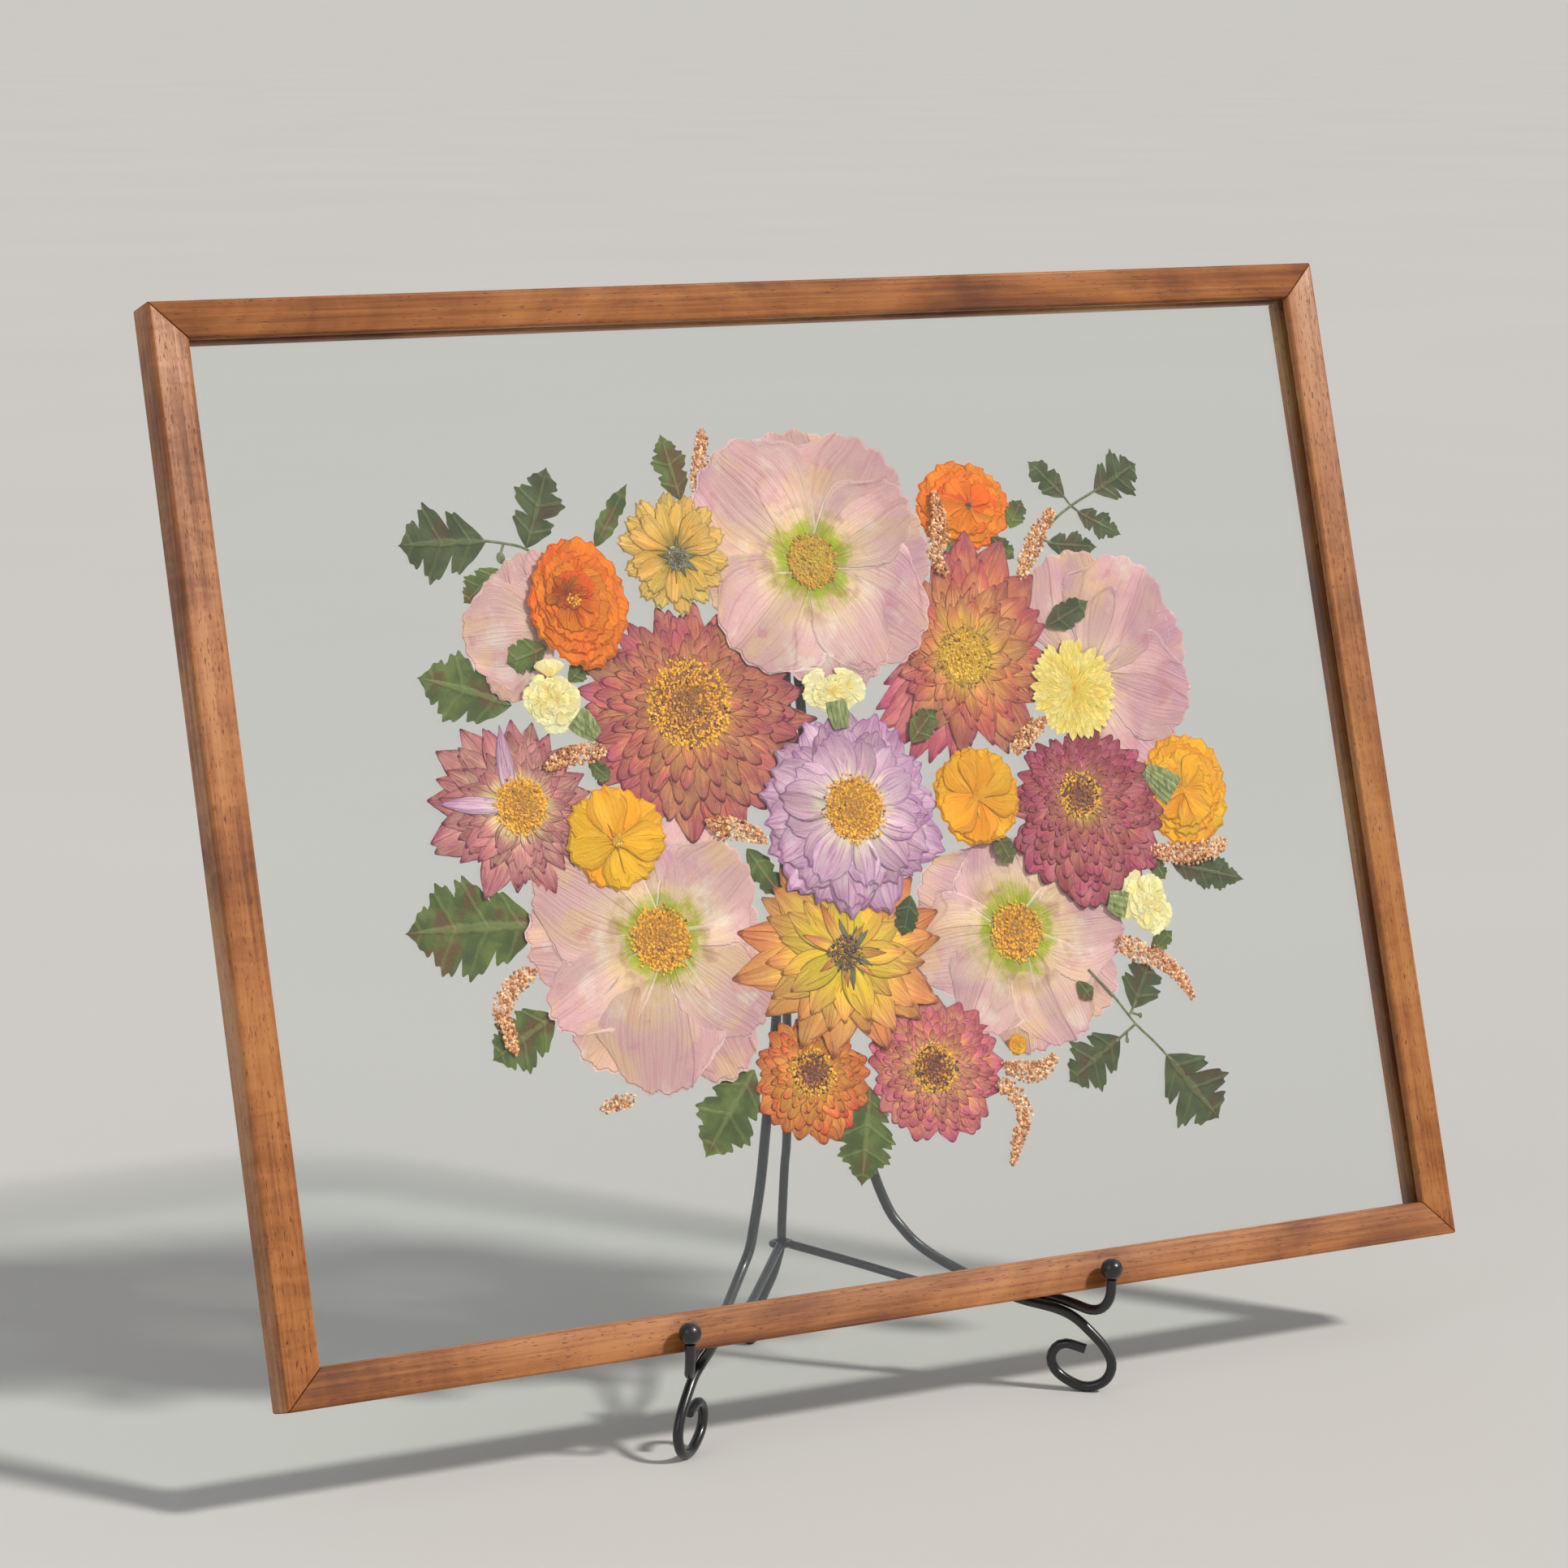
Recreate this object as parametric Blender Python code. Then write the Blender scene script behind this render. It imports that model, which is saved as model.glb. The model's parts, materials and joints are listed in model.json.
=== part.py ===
"""A pressed flower frame on a wire easel: blooms and leaves between two panes, in four mitred rails.

Lengths below are in millimetres and are turned to metres by MM where a mesh is made. Specimens are laid
out in the plane of the frame: x to the right and y up from the middle of the opening, seen from the front.
The frame leans back on the easel, and the whole object stands on z = 0.
"""

import math

import bmesh
import bpy
import numpy as np
from mathutils import Vector

MM = 0.001

# Frame
WIDTH = 508.0
HEIGHT = 403.8
DEPTH = 16.0
RAIL = 14.4
LIP = 3.6
RABBET = 5.0
GLASS = 2.0
GLASS_SPACE = 3.6
EDGE_ROUND = 0.8
CLEAR = 0.3
MITRE_GAP = 0.42
LEAN = math.radians(17.0)
FACE_HEIGHT = 236.5

# How far the outline dips between two petals
BETWEEN_PETALS = 0.93
# Specimens: each is a thin solid on a layer of its own wherever it lies over another
LEAF_THICKNESS = 0.13
LAYER_STEP = 0.43
THINNER = 0.008

# Easel, in its own mirror plane, measured from the plane x = EASEL_X and from the ground
EASEL_X = -5.0
WIRE = 4.0
BACK_WIRE = 3.6
BALL = 8.5
LEG_ROUTE = [
    (2.3, 33.8, 300.0), (2.6, 31.5, 285.0), (4.5, 27.0, 240.0), (9.0, 21.5, 185.0), (15.0, 16.8, 138.0),
    (20.5, 13.2, 106.8), (24.6, 10.2, 84.0), (29.9, 6.0, 67.1), (33.9, 1.9, 59.7), (38.5, -1.2, 53.8),
    (44.4, -6.4, 48.6), (51.3, -13.6, 44.0), (60.6, -24.5, 38.8), (67.5, -34.0, 35.6),
    (77.6, -44.5, 33.0), (83.3, -49.3, 29.8), (88.2, -53.4, 24.4), (92.4, -56.9, 18.4), (94.7, -58.9, 12.0),
    (93.6, -58.0, 6.3), (90.4, -55.3, 2.9), (85.9, -51.5, 2.05), (81.0, -47.4, 4.6), (77.6, -44.5, 8.3),
    (76.4, -43.5, 12.8), (77.7, -44.6, 17.0), (80.9, -47.3, 19.0), (86.8, -52.2, 17.2),
]
HOOK_ROUTE = [
    (62.9, -22.3, 42.2), (69.9, -31.8, 39.0), (74.8, -37.4, 37.4), (79.8, -42.4, 36.2), (84.0, -48.2, 34.8),
    (87.6, -54.6, 33.6), (90.0, -59.4, 35.4), (91.3, -62.5, 40.4), (91.6, -63.2, 47.5),
]
BACK_LEG_ROUTE = [
    (0.0, 38.2, 297.0), (0.0, 36.6, 220.0), (0.0, 35.0, 150.0), (0.0, 34.9, 96.8), (0.0, 37.0, 79.7),
    (0.0, 39.0, 59.2), (0.0, 39.7, 49.0), (0.0, 41.8, 43.0), (0.0, 46.6, 33.9), (0.0, 53.6, 24.5),
    (0.0, 59.8, 15.5), (0.0, 64.0, 7.5),
]
BRACE_ARM = [(60.0, -26.0, 34.4), (40.0, -7.0, 38.5), (20.0, 15.5, 44.0), (2.4, 36.9, 48.4)]
BRACE_WIRE = 3.4
EYE_WIRE = 2.72
EYE_CENTRE = (0.0, 39.7, 48.4)
EYE_RADIUS = 3.7
EYE_TILT = 0.08
KNOB_CENTRE = (91.6, -63.0, 51.6)
FOOT_CENTRE = (0.0, 65.6, BALL / 2 + 0.05)

WOOD = (0.46, 0.17, 0.055, 1.0)
BEAD_WOOD = (0.50, 0.24, 0.09, 1.0)
WIRE_BLACK = (0.02, 0.02, 0.022, 1.0)
CLEAR_GLASS = (0.93, 0.96, 0.95, 1.0)
GREEN = (0.10, 0.14, 0.045, 1.0)
PEACH = (0.62, 0.31, 0.13, 1.0)
PINK = (0.78, 0.55, 0.50, 1.0)
CREAM = (0.82, 0.70, 0.38, 1.0)
GOLD = (0.85, 0.42, 0.04, 1.0)
ORANGE = (0.85, 0.22, 0.02, 1.0)
TERRACOTTA = (0.50, 0.15, 0.11, 1.0)
LILAC = (0.55, 0.33, 0.45, 1.0)

# Blooms with even petals: centre x, y, reach across, reach up, petals round the outline, turn, colour
EVEN_BLOOMS = {
    "zinnia_golden": (-53.0, 98.5, 24.5, 25.0, 14, 4, GOLD),
    "marigold_deep_orange": (-96.0, 81.5, 22.0, 26.0, 12, 10, ORANGE),
    "marigold_orange": (77.0, 109.5, 23.0, 19.0, 14, 0, ORANGE),
    "dahlia_terracotta": (-55.5, 33.0, 46.0, 44.5, 16, 5, TERRACOTTA),
    "dahlia_coral": (73.0, 53.5, 39.0, 43.5, 14, 8, TERRACOTTA),
    "pompon_cream": (115.0, 33.5, 20.0, 21.0, 16, 0, CREAM),
    "dahlia_rose": (-134.0, 7.0, 34.0, 34.0, 14, 3, TERRACOTTA),
    "cosmos_golden": (-93.5, -8.0, 21.5, 21.5, 9, 12, GOLD),
    "dahlia_lilac": (6.5, -8.0, 41.5, 41.0, 14, 0, LILAC),
    "marigold_golden": (64.0, -5.5, 20.5, 21.0, 9, 0, GOLD),
    "dahlia_crimson": (113.5, -18.0, 35.0, 35.0, 18, 0, TERRACOTTA),
    "marigold_golden_right": (160.0, -10.5, 21.5, 24.5, 11, 0, GOLD),
    "dahlia_rust_tipped": (-4.0, -61.0, 47.0, 42.0, 12, 12, GOLD),
    "dahlia_orange_small": (-24.5, -108.0, 25.0, 24.0, 12, 6, ORANGE),
    "dahlia_magenta_small": (29.5, -109.5, 29.5, 28.0, 14, 0, TERRACOTTA),
}
# Blooms whose petals differ: centre x, y, then the direction, length and breadth of each petal, colour
ODD_BLOOMS = {
    "bloom_pink_top": (
        5.5, 91.5,
        [(95, 52, 58), (55, 56, 60), (12, 53, 58), (-35, 55, 52), (-78, 53, 52), (-138, 50, 54),
         (180, 48, 54), (135, 58, 60)],
        PINK,
    ),
    "petals_pink_left": (-108.0, 72.0, [(114, 30, 34), (148, 30, 28), (185, 36, 38), (222, 33, 24)], PINK),
    "bloom_pink_right": (
        125.0, 40.0, [(100, 49, 50), (58, 51, 50), (20, 48, 46), (-15, 47, 42), (-50, 46, 40)], PINK,
    ),
    "bloom_pink_lower_left": (
        -80.0, -48.0,
        [(62, 48, 48), (35, 47, 44), (5, 42, 40), (-38, 53, 44), (-64, 61, 44), (-100, 60, 50),
         (-130, 58, 40), (-150, 55, 36), (178, 56, 50), (148, 58, 50), (105, 42, 40)],
        PINK,
    ),
    "bloom_pink_lower_right": (
        74.0, -60.0,
        [(150, 46, 44), (95, 38, 44), (45, 42, 40), (0, 49, 46), (-36, 51, 40), (-62, 50, 40), (-88, 48, 40),
         (-125, 43, 40), (187, 47, 42)],
        PINK,
    ),
    "carnation_left": (-111.5, 45.0, [(60, 14, 22), (120, 13, 22), (190, 15, 22), (250, 15, 20), (0, 15, 22),
                                      (-47, 20, 9)], CREAM),
    "carnation_middle": (6.0, 39.5, [(90, 9, 18), (150, 15, 15), (195, 15, 15), (205, 13, 12), (25, 15, 15),
                                     (-5, 16, 13), (-84, 14, 9)], CREAM),
    "carnation_right": (135.0, -55.0, [(90, 15, 20), (40, 14, 20), (-10, 13, 20), (-70, 15, 20),
                                       (215, 14, 22), (150, 12, 20), (172, 18, 9)], CREAM),
}
# Single leaves: base, tip, width, lobes a side
LEAVES = {
    "leaf_top": ((-46.5, 119.0), (-51.5, 146.5), 13.0, 3),
    "leaf_upper_narrow": ((-85.0, 103.0), (-67.5, 127.5), 8.0, 2),
    "leaf_beside_marigold": ((-111.0, 66.0), (-129.5, 60.5), 12.0, 2),
    "leaf_left_small": ((-126.0, 97.0), (-143.0, 84.0), 12.0, 3),
    "leaf_left_lobed": ((-128.0, 45.0), (-167.0, 59.0), 22.0, 3),
    "leaf_left_large": ((-129.0, -38.0), (-186.0, -36.0), 33.0, 4),
    "leaf_lower_left": ((-127.0, -72.0), (-156.5, -87.0), 20.0, 3),
    "leaf_bottom_left": ((-48.0, -101.0), (-75.0, -133.5), 22.0, 3),
    "leaf_bottom_middle": ((0.0, -113.0), (-10.0, -152.5), 22.0, 4),
    "leaf_right_dark": ((107.0, 59.5), (129.0, 69.0), 11.0, 2),
    "leaf_centre_left": ((-38.5, -17.0), (-25.5, -38.0), 10.0, 2),
    "leaf_centre_small": ((28.5, -41.5), (22.0, -58.0), 10.0, 2),
    "leaf_right_toothed": ((150.0, -40.0), (184.0, -49.5), 13.0, 4),
}
# The breadth of a pressed stem
STEM_WIDTH = 1.5
# Leaf sprays: stem routes, then leaflets as base, tip, width, lobes
SPRAYS = {
    "spray_upper_left": (
        [[(-100.0, 93.0), (-105.0, 97.5), (-114.0, 104.0), (-122.0, 106.4), (-131.0, 108.0)]],
        [((-129.5, 107.5), (-168.0, 108.0), 23.0, 3), ((-113.5, 104.0), (-100.0, 136.5), 17.0, 3),
         ((-122.5, 106.5), (-124.5, 99.5), 4.2, 1)],
    ),
    "spray_upper_right": (
        [[(101.0, 80.0), (104.5, 87.5), (110.5, 95.0), (118.0, 102.0), (127.0, 107.5), (140.0, 113.5)],
         [(127.0, 107.5), (124.0, 112.0)], [(127.0, 107.5), (131.0, 104.5)], [(110.5, 95.0), (115.5, 93.0)]],
        [((124.5, 111.0), (109.0, 127.5), 11.0, 2), ((138.5, 112.5), (162.0, 124.0), 17.0, 3),
         ((129.5, 105.0), (149.5, 94.0), 10.0, 3), ((113.5, 93.0), (137.5, 90.0), 10.0, 3)],
    ),
    "spray_lower_right": (
        [[(104.0, -78.0), (114.0, -90.0), (122.0, -101.5), (129.0, -109.0), (136.0, -117.5)],
         [(122.0, -101.5), (112.0, -107.5)], [(119.5, -98.0), (124.0, -92.5)]],
        [((121.5, -95.5), (133.0, -76.5), 17.0, 2), ((114.0, -106.0), (86.0, -122.0), 19.0, 3),
         ((134.0, -115.0), (156.0, -145.5), 27.0, 3)],
    ),
}
# Amaranth: points along the sprig, each with its breadth
SPRIGS = {
    "amaranth_top": [(-39.0, 120.5, 4), (-38.0, 127.0, 8), (-36.0, 134.0, 7), (-33.5, 144.5, 4)],
    "amaranth_upright": [(64.0, 84.0, 4), (61.5, 90.0, 8), (64.0, 99.0, 10), (65.0, 107.0, 7),
                         (64.5, 115.5, 3)],
    "amaranth_curved": [(-134.0, -55.5, 7), (-143.0, -60.0, 8), (-148.5, -68.0, 8), (-147.0, -76.0, 7),
                        (-145.5, -83.5, 4)],
    "amaranth_drooping": [(120.5, -69.5, 7), (130.0, -74.0, 10), (140.0, -79.5, 7), (146.0, -86.0, 6),
                          (149.5, -93.5, 3)],
    "amaranth_bottom": [(57.0, -118.0, 6), (63.0, -124.0, 8), (65.5, -132.0, 7), (61.5, -140.0, 6),
                        (57.5, -149.0, 3)],
}
# From the back pane forwards
LAID_IN_ORDER = [
    "leaf_left_large", "leaf_left_lobed", "leaf_left_small", "leaf_lower_left", "leaf_top",
    "leaf_upper_narrow", "spray_upper_left", "spray_upper_right", "leaf_bottom_left", "leaf_bottom_middle",
    "leaf_right_toothed", "amaranth_top", "amaranth_curved", "petals_pink_left", "bloom_pink_right",
    "bloom_pink_lower_left", "bloom_pink_lower_right", "marigold_golden_right", "marigold_orange",
    "dahlia_terracotta", "dahlia_coral", "dahlia_crimson", "dahlia_rose", "leaf_beside_marigold",
    "leaf_centre_left", "leaf_right_dark", "carnation_right", "spray_lower_right",
    "bloom_pink_top", "cosmos_golden", "carnation_left", "dahlia_orange_small", "dahlia_magenta_small",
    "dahlia_rust_tipped", "leaf_centre_small", "zinnia_golden", "pompon_cream", "amaranth_upright",
    "amaranth_drooping", "amaranth_bottom", "dahlia_lilac", "marigold_deep_orange", "carnation_middle",
    "marigold_golden",
]


def clear_scene():
    for obj in list(bpy.data.objects):
        bpy.data.objects.remove(obj, do_unlink=True)


def new_collection(name, hidden=False):
    collection = bpy.data.collections.new(name)
    collection.hide_render = hidden
    bpy.context.scene.collection.children.link(collection)
    return collection


def material(name, colour, roughness, metallic=0.0):
    made = bpy.data.materials.new(name)
    made.use_nodes = True
    shader = made.node_tree.nodes["Principled BSDF"]
    shader.inputs["Base Color"].default_value = colour
    shader.inputs["Roughness"].default_value = roughness
    shader.inputs["Metallic"].default_value = metallic
    return made


def add(name, data, parent, collection, finish):
    obj = bpy.data.objects.new(name, data)
    data.materials.append(finish)
    obj.parent = parent
    collection.objects.link(obj)
    return obj


# ---- frame: a rail is its section drawn out, with both ends cut to the mitre ----


def mitred_bar(name, section, length, finish, parent, collection):
    """section: (distance in from the frame's outer edge, depth behind the face) round the bar."""
    mesh = bpy.data.meshes.new(name)
    shape = bmesh.new()
    corners = [shape.verts.new((0.0, depth * MM, -inward * MM)) for inward, depth in section]
    end = shape.faces.new(corners)
    drawn = bmesh.ops.extrude_face_region(shape, geom=[end])["geom"]
    far = {v for v in drawn if isinstance(v, bmesh.types.BMVert)}
    for vertex in shape.verts:
        reach = (length / 2 - MITRE_GAP / 2) * MM + vertex.co.z
        vertex.co.x = reach if vertex in far else -reach
    bmesh.ops.recalc_face_normals(shape, faces=shape.faces)
    shape.to_mesh(mesh)
    shape.free()
    return add(name, mesh, parent, collection, finish)


def frame_sides(kind, section, finish, parent, collection):
    sides = (("top", WIDTH, HEIGHT, 0), ("right", HEIGHT, WIDTH, 90), ("bottom", WIDTH, HEIGHT, 180),
             ("left", HEIGHT, WIDTH, 270))
    for side, length, across, turn in sides:
        bar = mitred_bar(f"{side}_{kind}", section, length, finish, parent, collection)
        angle = math.radians(turn)
        bar.rotation_euler = (0.0, angle, 0.0)
        bar.location = Vector((math.sin(angle), 0.0, math.cos(angle))) * (across / 2 * MM)


def rails_and_beads(parent, collection):
    wall = RAIL - RABBET
    rail = [(EDGE_ROUND, 0.0), (0.0, EDGE_ROUND), (0.0, DEPTH), (wall, DEPTH), (wall, LIP), (RAIL, LIP),
            (RAIL, EDGE_ROUND), (RAIL - EDGE_ROUND, 0.0)]
    start = LIP + 3 * CLEAR + 2 * GLASS + GLASS_SPACE
    bead = [(wall + CLEAR, start), (wall + CLEAR, DEPTH), (RAIL, DEPTH), (RAIL, start)]
    frame_sides("rail", rail, material("stained_wood", WOOD, 0.45), parent, collection)
    frame_sides("bead", bead, material("bead_wood", BEAD_WOOD, 0.55), parent, collection)


def pane(name, front, finish, parent, collection):
    inset = 2 * (RAIL - RABBET + CLEAR)
    size = Vector((WIDTH - inset, GLASS, HEIGHT - inset)) * MM
    mesh = bpy.data.meshes.new(name)
    shape = bmesh.new()
    bmesh.ops.create_cube(shape, size=1.0)
    bmesh.ops.scale(shape, vec=size, verts=shape.verts)
    shape.to_mesh(mesh)
    shape.free()
    glass = add(name, mesh, parent, collection, finish)
    glass.location = (0.0, (front + GLASS / 2) * MM, 0.0)


# ---- specimens: outlines in the plane of the frame ----


def petal_reach(offset, length, breadth):
    """How far an oval petal that starts at the centre reaches at an angle from its own direction."""
    along = math.cos(offset)
    if along <= 0.0:
        return 0.0
    half, side = length / 2, breadth / 2
    return 2 * half * side**2 * along / ((side * along) ** 2 + (half * math.sin(offset)) ** 2)


def even_outline(x, y, across, up, petals, turn):
    points = []
    for step in range(3 * petals):
        angle = 2 * math.pi * step / (3 * petals) + math.radians(turn)
        reach = BETWEEN_PETALS if step % 3 == 0 else 1.0
        points.append((x + across * reach * math.cos(angle), y + up * reach * math.sin(angle)))
    return points


def odd_outline(x, y, petals, steps=44, least=4.0):
    points = []
    for step in range(steps):
        angle = 2 * math.pi * step / steps
        reach = max(petal_reach(angle - math.radians(turn), long, broad) for turn, long, broad in petals)
        reach = max(reach, least)
        points.append((x + reach * math.cos(angle), y + reach * math.sin(angle)))
    return points


def leaf_outline(base, tip, width, lobes):
    start, end = Vector(base), Vector(tip)
    along = end - start
    side = Vector((-along.y, along.x)).normalized()
    outline = []
    for way in (1, -1):
        edge = [start + side * (way * 0.05 * width)]
        for lobe in range(lobes):
            for place, cut in ((lobe + 0.2, 0.68), (lobe + 0.8, 1.0)):
                share = 0.92 * place / lobes
                half = width / 2 * cut * math.sin(math.pi * share**0.7) ** 0.7
                edge.append(start + along * share + side * (way * half))
        outline.append(edge)
    return [tuple(p) for p in outline[0] + [end] + outline[1][::-1]]


def ribbon_outline(points):
    """The outline of a strip: points are x, y and breadth along its middle."""
    left, right = [], []
    for here, (x, y, breadth) in enumerate(points):
        before = points[max(here - 1, 0)]
        after = points[min(here + 1, len(points) - 1)]
        run = Vector((after[0] - before[0], after[1] - before[1])).normalized()
        left.append((x - run.y * breadth / 2, y + run.x * breadth / 2))
        right.append((x + run.y * breadth / 2, y - run.x * breadth / 2))
    return left + right[::-1]


def outlines_of(name):
    """(outlines, colour, shared centre) of a specimen."""
    if name in EVEN_BLOOMS:
        *place, colour = EVEN_BLOOMS[name]
        return [even_outline(*place)], colour
    if name in ODD_BLOOMS:
        *place, colour = ODD_BLOOMS[name]
        return [odd_outline(*place)], colour
    if name in LEAVES:
        return [leaf_outline(*LEAVES[name])], GREEN
    if name in SPRIGS:
        return [ribbon_outline(SPRIGS[name])], PEACH
    stems, leaflets = SPRAYS[name]
    strips = [ribbon_outline([(x, y, STEM_WIDTH) for x, y in stem]) for stem in stems]
    return strips + [leaf_outline(*leaflet) for leaflet in leaflets], GREEN


def inside(points, outline):
    """Which points lie in the outline, by counting the edges that a line to the right crosses."""
    crossings = np.zeros(len(points), bool)
    for (x0, y0), (x1, y1) in zip(outline, outline[1:] + outline[:1]):
        if y0 == y1:
            continue
        spans = (points[:, 1] > min(y0, y1)) & (points[:, 1] <= max(y0, y1))
        crossings ^= spans & (points[:, 0] < x0 + (points[:, 1] - y0) * (x1 - x0) / (y1 - y0))
    return crossings


def walked(outline, step=1.0):
    """Points every step along the outline."""
    found = []
    for start, end in zip(outline, outline[1:] + outline[:1]):
        start, end = np.array(start), np.array(end)
        count = max(2, int(np.linalg.norm(end - start) / step) + 1)
        found.append(start + (end - start) * np.linspace(0.0, 1.0, count)[:, None])
    return np.concatenate(found)


def overlap(first, second):
    return any(
        inside(walked(a), b).any() or inside(walked(b), a).any() for a in first for b in second
    )


def layers():
    """The layer of each specimen: one above the highest that it lies over."""
    laid = {}
    for name in LAID_IN_ORDER:
        outlines, _ = outlines_of(name)
        under = [layer for layer, others in laid.values() if overlap(outlines, others)]
        laid[name] = (max(under, default=-1) + 1, outlines)
    return {name: layer for name, (layer, _) in laid.items()}


def slab_curve(name, outline, centre, thickness):
    curve = bpy.data.curves.new(name, "CURVE")
    curve.dimensions = "2D"
    curve.fill_mode = "BOTH"
    curve.extrude = thickness / 2 * MM
    spline = curve.splines.new("POLY")
    spline.points.add(len(outline) - 1)
    for point, (x, y) in zip(spline.points, outline):
        point.co = ((x - centre[0]) * MM, (y - centre[1]) * MM, 0.0, 1.0)
    spline.use_cyclic_u = True
    return curve


def as_mesh(obj):
    """The object as a plain mesh of its own, with its loose caps welded."""
    graph = bpy.context.evaluated_depsgraph_get()
    graph.update()
    mesh = bpy.data.meshes.new_from_object(obj.evaluated_get(graph))
    shape = bmesh.new()
    shape.from_mesh(mesh)
    bmesh.ops.remove_doubles(shape, verts=shape.verts, dist=1e-6)
    bmesh.ops.recalc_face_normals(shape, faces=shape.faces)
    shape.to_mesh(mesh)
    shape.free()
    return mesh


def fused_slabs(name, outlines, centre, finish, parent, helpers, collection):
    """Overlapping outlines as one solid. Each is a little thinner than the last, so no faces coincide."""
    whole = None
    for number, outline in enumerate(outlines):
        thickness = LEAF_THICKNESS - THINNER * (len(outlines) - number)
        curve = slab_curve(f"{name}_{number}", outline, centre, thickness)
        drawn = bpy.data.objects.new(f"{name}_{number}", curve)
        helpers.objects.link(drawn)
        mesh = as_mesh(drawn)
        bpy.data.objects.remove(drawn, do_unlink=True)
        if whole is None:
            whole = add(name, mesh, parent, collection, finish)
            continue
        other = bpy.data.objects.new(f"{name}_{number}", mesh)
        other.hide_render = True
        other.display_type = "WIRE"
        other.parent = whole
        helpers.objects.link(other)
        join = whole.modifiers.new(f"join_{number}", "BOOLEAN")
        join.operation = "UNION"
        join.solver = "EXACT"
        join.object = other
    return whole


def specimens(parent, collection, helpers):
    finishes = {}
    back = LIP + CLEAR + GLASS + GLASS_SPACE
    for name, layer in layers().items():
        outlines, colour = outlines_of(name)
        if colour not in finishes:
            finishes[colour] = material(f"dried_{len(finishes)}", colour, 0.8)
        everything = np.concatenate([np.array(o) for o in outlines])
        centre = (everything.max(axis=0) + everything.min(axis=0)) / 2
        if len(outlines) == 1:
            curve = slab_curve(name, outlines[0], centre, LEAF_THICKNESS)
            made = add(name, curve, parent, collection, finishes[colour])
        else:
            made = fused_slabs(name, outlines, centre, finishes[colour], parent, helpers, collection)
        depth = back - CLEAR - LEAF_THICKNESS / 2 - layer * LAYER_STEP
        made.rotation_euler = (math.pi / 2, 0.0, 0.0)
        made.location = (centre[0] * MM, depth * MM, centre[1] * MM)


# ---- easel ----


def smooth_route(points, step):
    """Points about a step apart on the smooth curve through the route's own points."""
    route = [Vector(p) for p in points]
    padded = [2 * route[0] - route[1]] + route + [2 * route[-1] - route[-2]]
    found = []
    for a, b, c, d in zip(padded, padded[1:], padded[2:], padded[3:]):
        pieces = max(1, round((c - b).length / step))
        for piece in range(pieces):
            t = piece / pieces
            bend = (2 * a - 5 * b + 4 * c - d) * t**2 + (3 * b - a - 3 * c + d) * t**3
            found.append(0.5 * (2 * b + (c - a) * t + bend))
    return found + [route[-1]]


def wire(name, points, thickness, side, finish, parent, collection, closed=False):
    curve = bpy.data.curves.new(name, "CURVE")
    curve.dimensions = "3D"
    curve.bevel_depth = thickness / 2 * MM
    curve.bevel_resolution = 2
    curve.use_fill_caps = not closed
    spline = curve.splines.new("POLY")
    spline.points.add(len(points) - 1)
    for point, (x, y, z) in zip(spline.points, points):
        point.co = (side * x * MM, y * MM, z * MM, 1.0)
    spline.use_cyclic_u = closed
    return add(name, curve, parent, collection, finish)


def joined(name, pieces, finish, parent, collection, helpers):
    """One solid from wires and balls that run into each other."""
    for piece in pieces:
        piece.parent = None
    meshes = [as_mesh(piece) for piece in pieces]
    for piece in pieces:
        bpy.data.objects.remove(piece, do_unlink=True)
    whole = add(name, meshes[0], parent, collection, finish)
    for number, mesh in enumerate(meshes[1:], 1):
        other = bpy.data.objects.new(f"{name}_{number}", mesh)
        other.hide_render = True
        other.display_type = "WIRE"
        other.parent = parent
        helpers.objects.link(other)
        join = whole.modifiers.new(f"join_{number}", "BOOLEAN")
        join.operation = "UNION"
        join.solver = "EXACT"
        join.object = other
    return whole


def ball(name, centre, side, finish, parent, collection):
    mesh = bpy.data.meshes.new(name)
    shape = bmesh.new()
    bmesh.ops.create_uvsphere(shape, u_segments=12, v_segments=8, radius=BALL / 2 * MM)
    bmesh.ops.translate(shape, vec=Vector((side * centre[0], centre[1], centre[2])) * MM, verts=shape.verts)
    shape.to_mesh(mesh)
    shape.free()
    return add(name, mesh, parent, collection, finish)


def brace_wire(finish, parent, collection, helpers):
    """A V of wire that closes into an eye round the back leg."""
    centre = Vector(EYE_CENTRE)
    turn = [centre + Vector((math.sin(a), -math.cos(a), EYE_TILT * math.cos(a))) * EYE_RADIUS
            for a in (2 * math.pi * step / 12 for step in range(12))]
    pieces = [wire("eye", turn, EYE_WIRE, 1, finish, None, collection, closed=True)]
    for side in (1, -1):
        arm = smooth_route(BRACE_ARM, 14.0)
        pieces.append(wire(f"arm_{side}", arm, BRACE_WIRE, side, finish, None, collection))
    return joined("easel_brace", pieces, finish, parent, collection, helpers)


def easel(parent, collection, helpers):
    finish = material("black_wire", WIRE_BLACK, 0.35, 0.6)
    for side, word in ((1, "right"), (-1, "left")):
        leg = smooth_route(LEG_ROUTE[:6], 24.0)[:-1] + smooth_route(LEG_ROUTE[5:], 6.5)
        wire(f"{word}_front_leg", leg, WIRE, side, finish, parent, collection)
        hook = wire("hook", smooth_route(HOOK_ROUTE, 6.0), WIRE, side, finish, None, collection)
        knob = ball("knob", KNOB_CENTRE, side, finish, None, collection)
        joined(f"{word}_hook", [hook, knob], finish, parent, collection, helpers)
    leg = wire("leg", smooth_route(BACK_LEG_ROUTE, 16.0), BACK_WIRE, 1, finish, None, collection)
    foot = ball("foot", FOOT_CENTRE, 1, finish, None, collection)
    joined("back_leg", [leg, foot], finish, parent, collection, helpers)
    brace_wire(finish, parent, collection, helpers)


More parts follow.
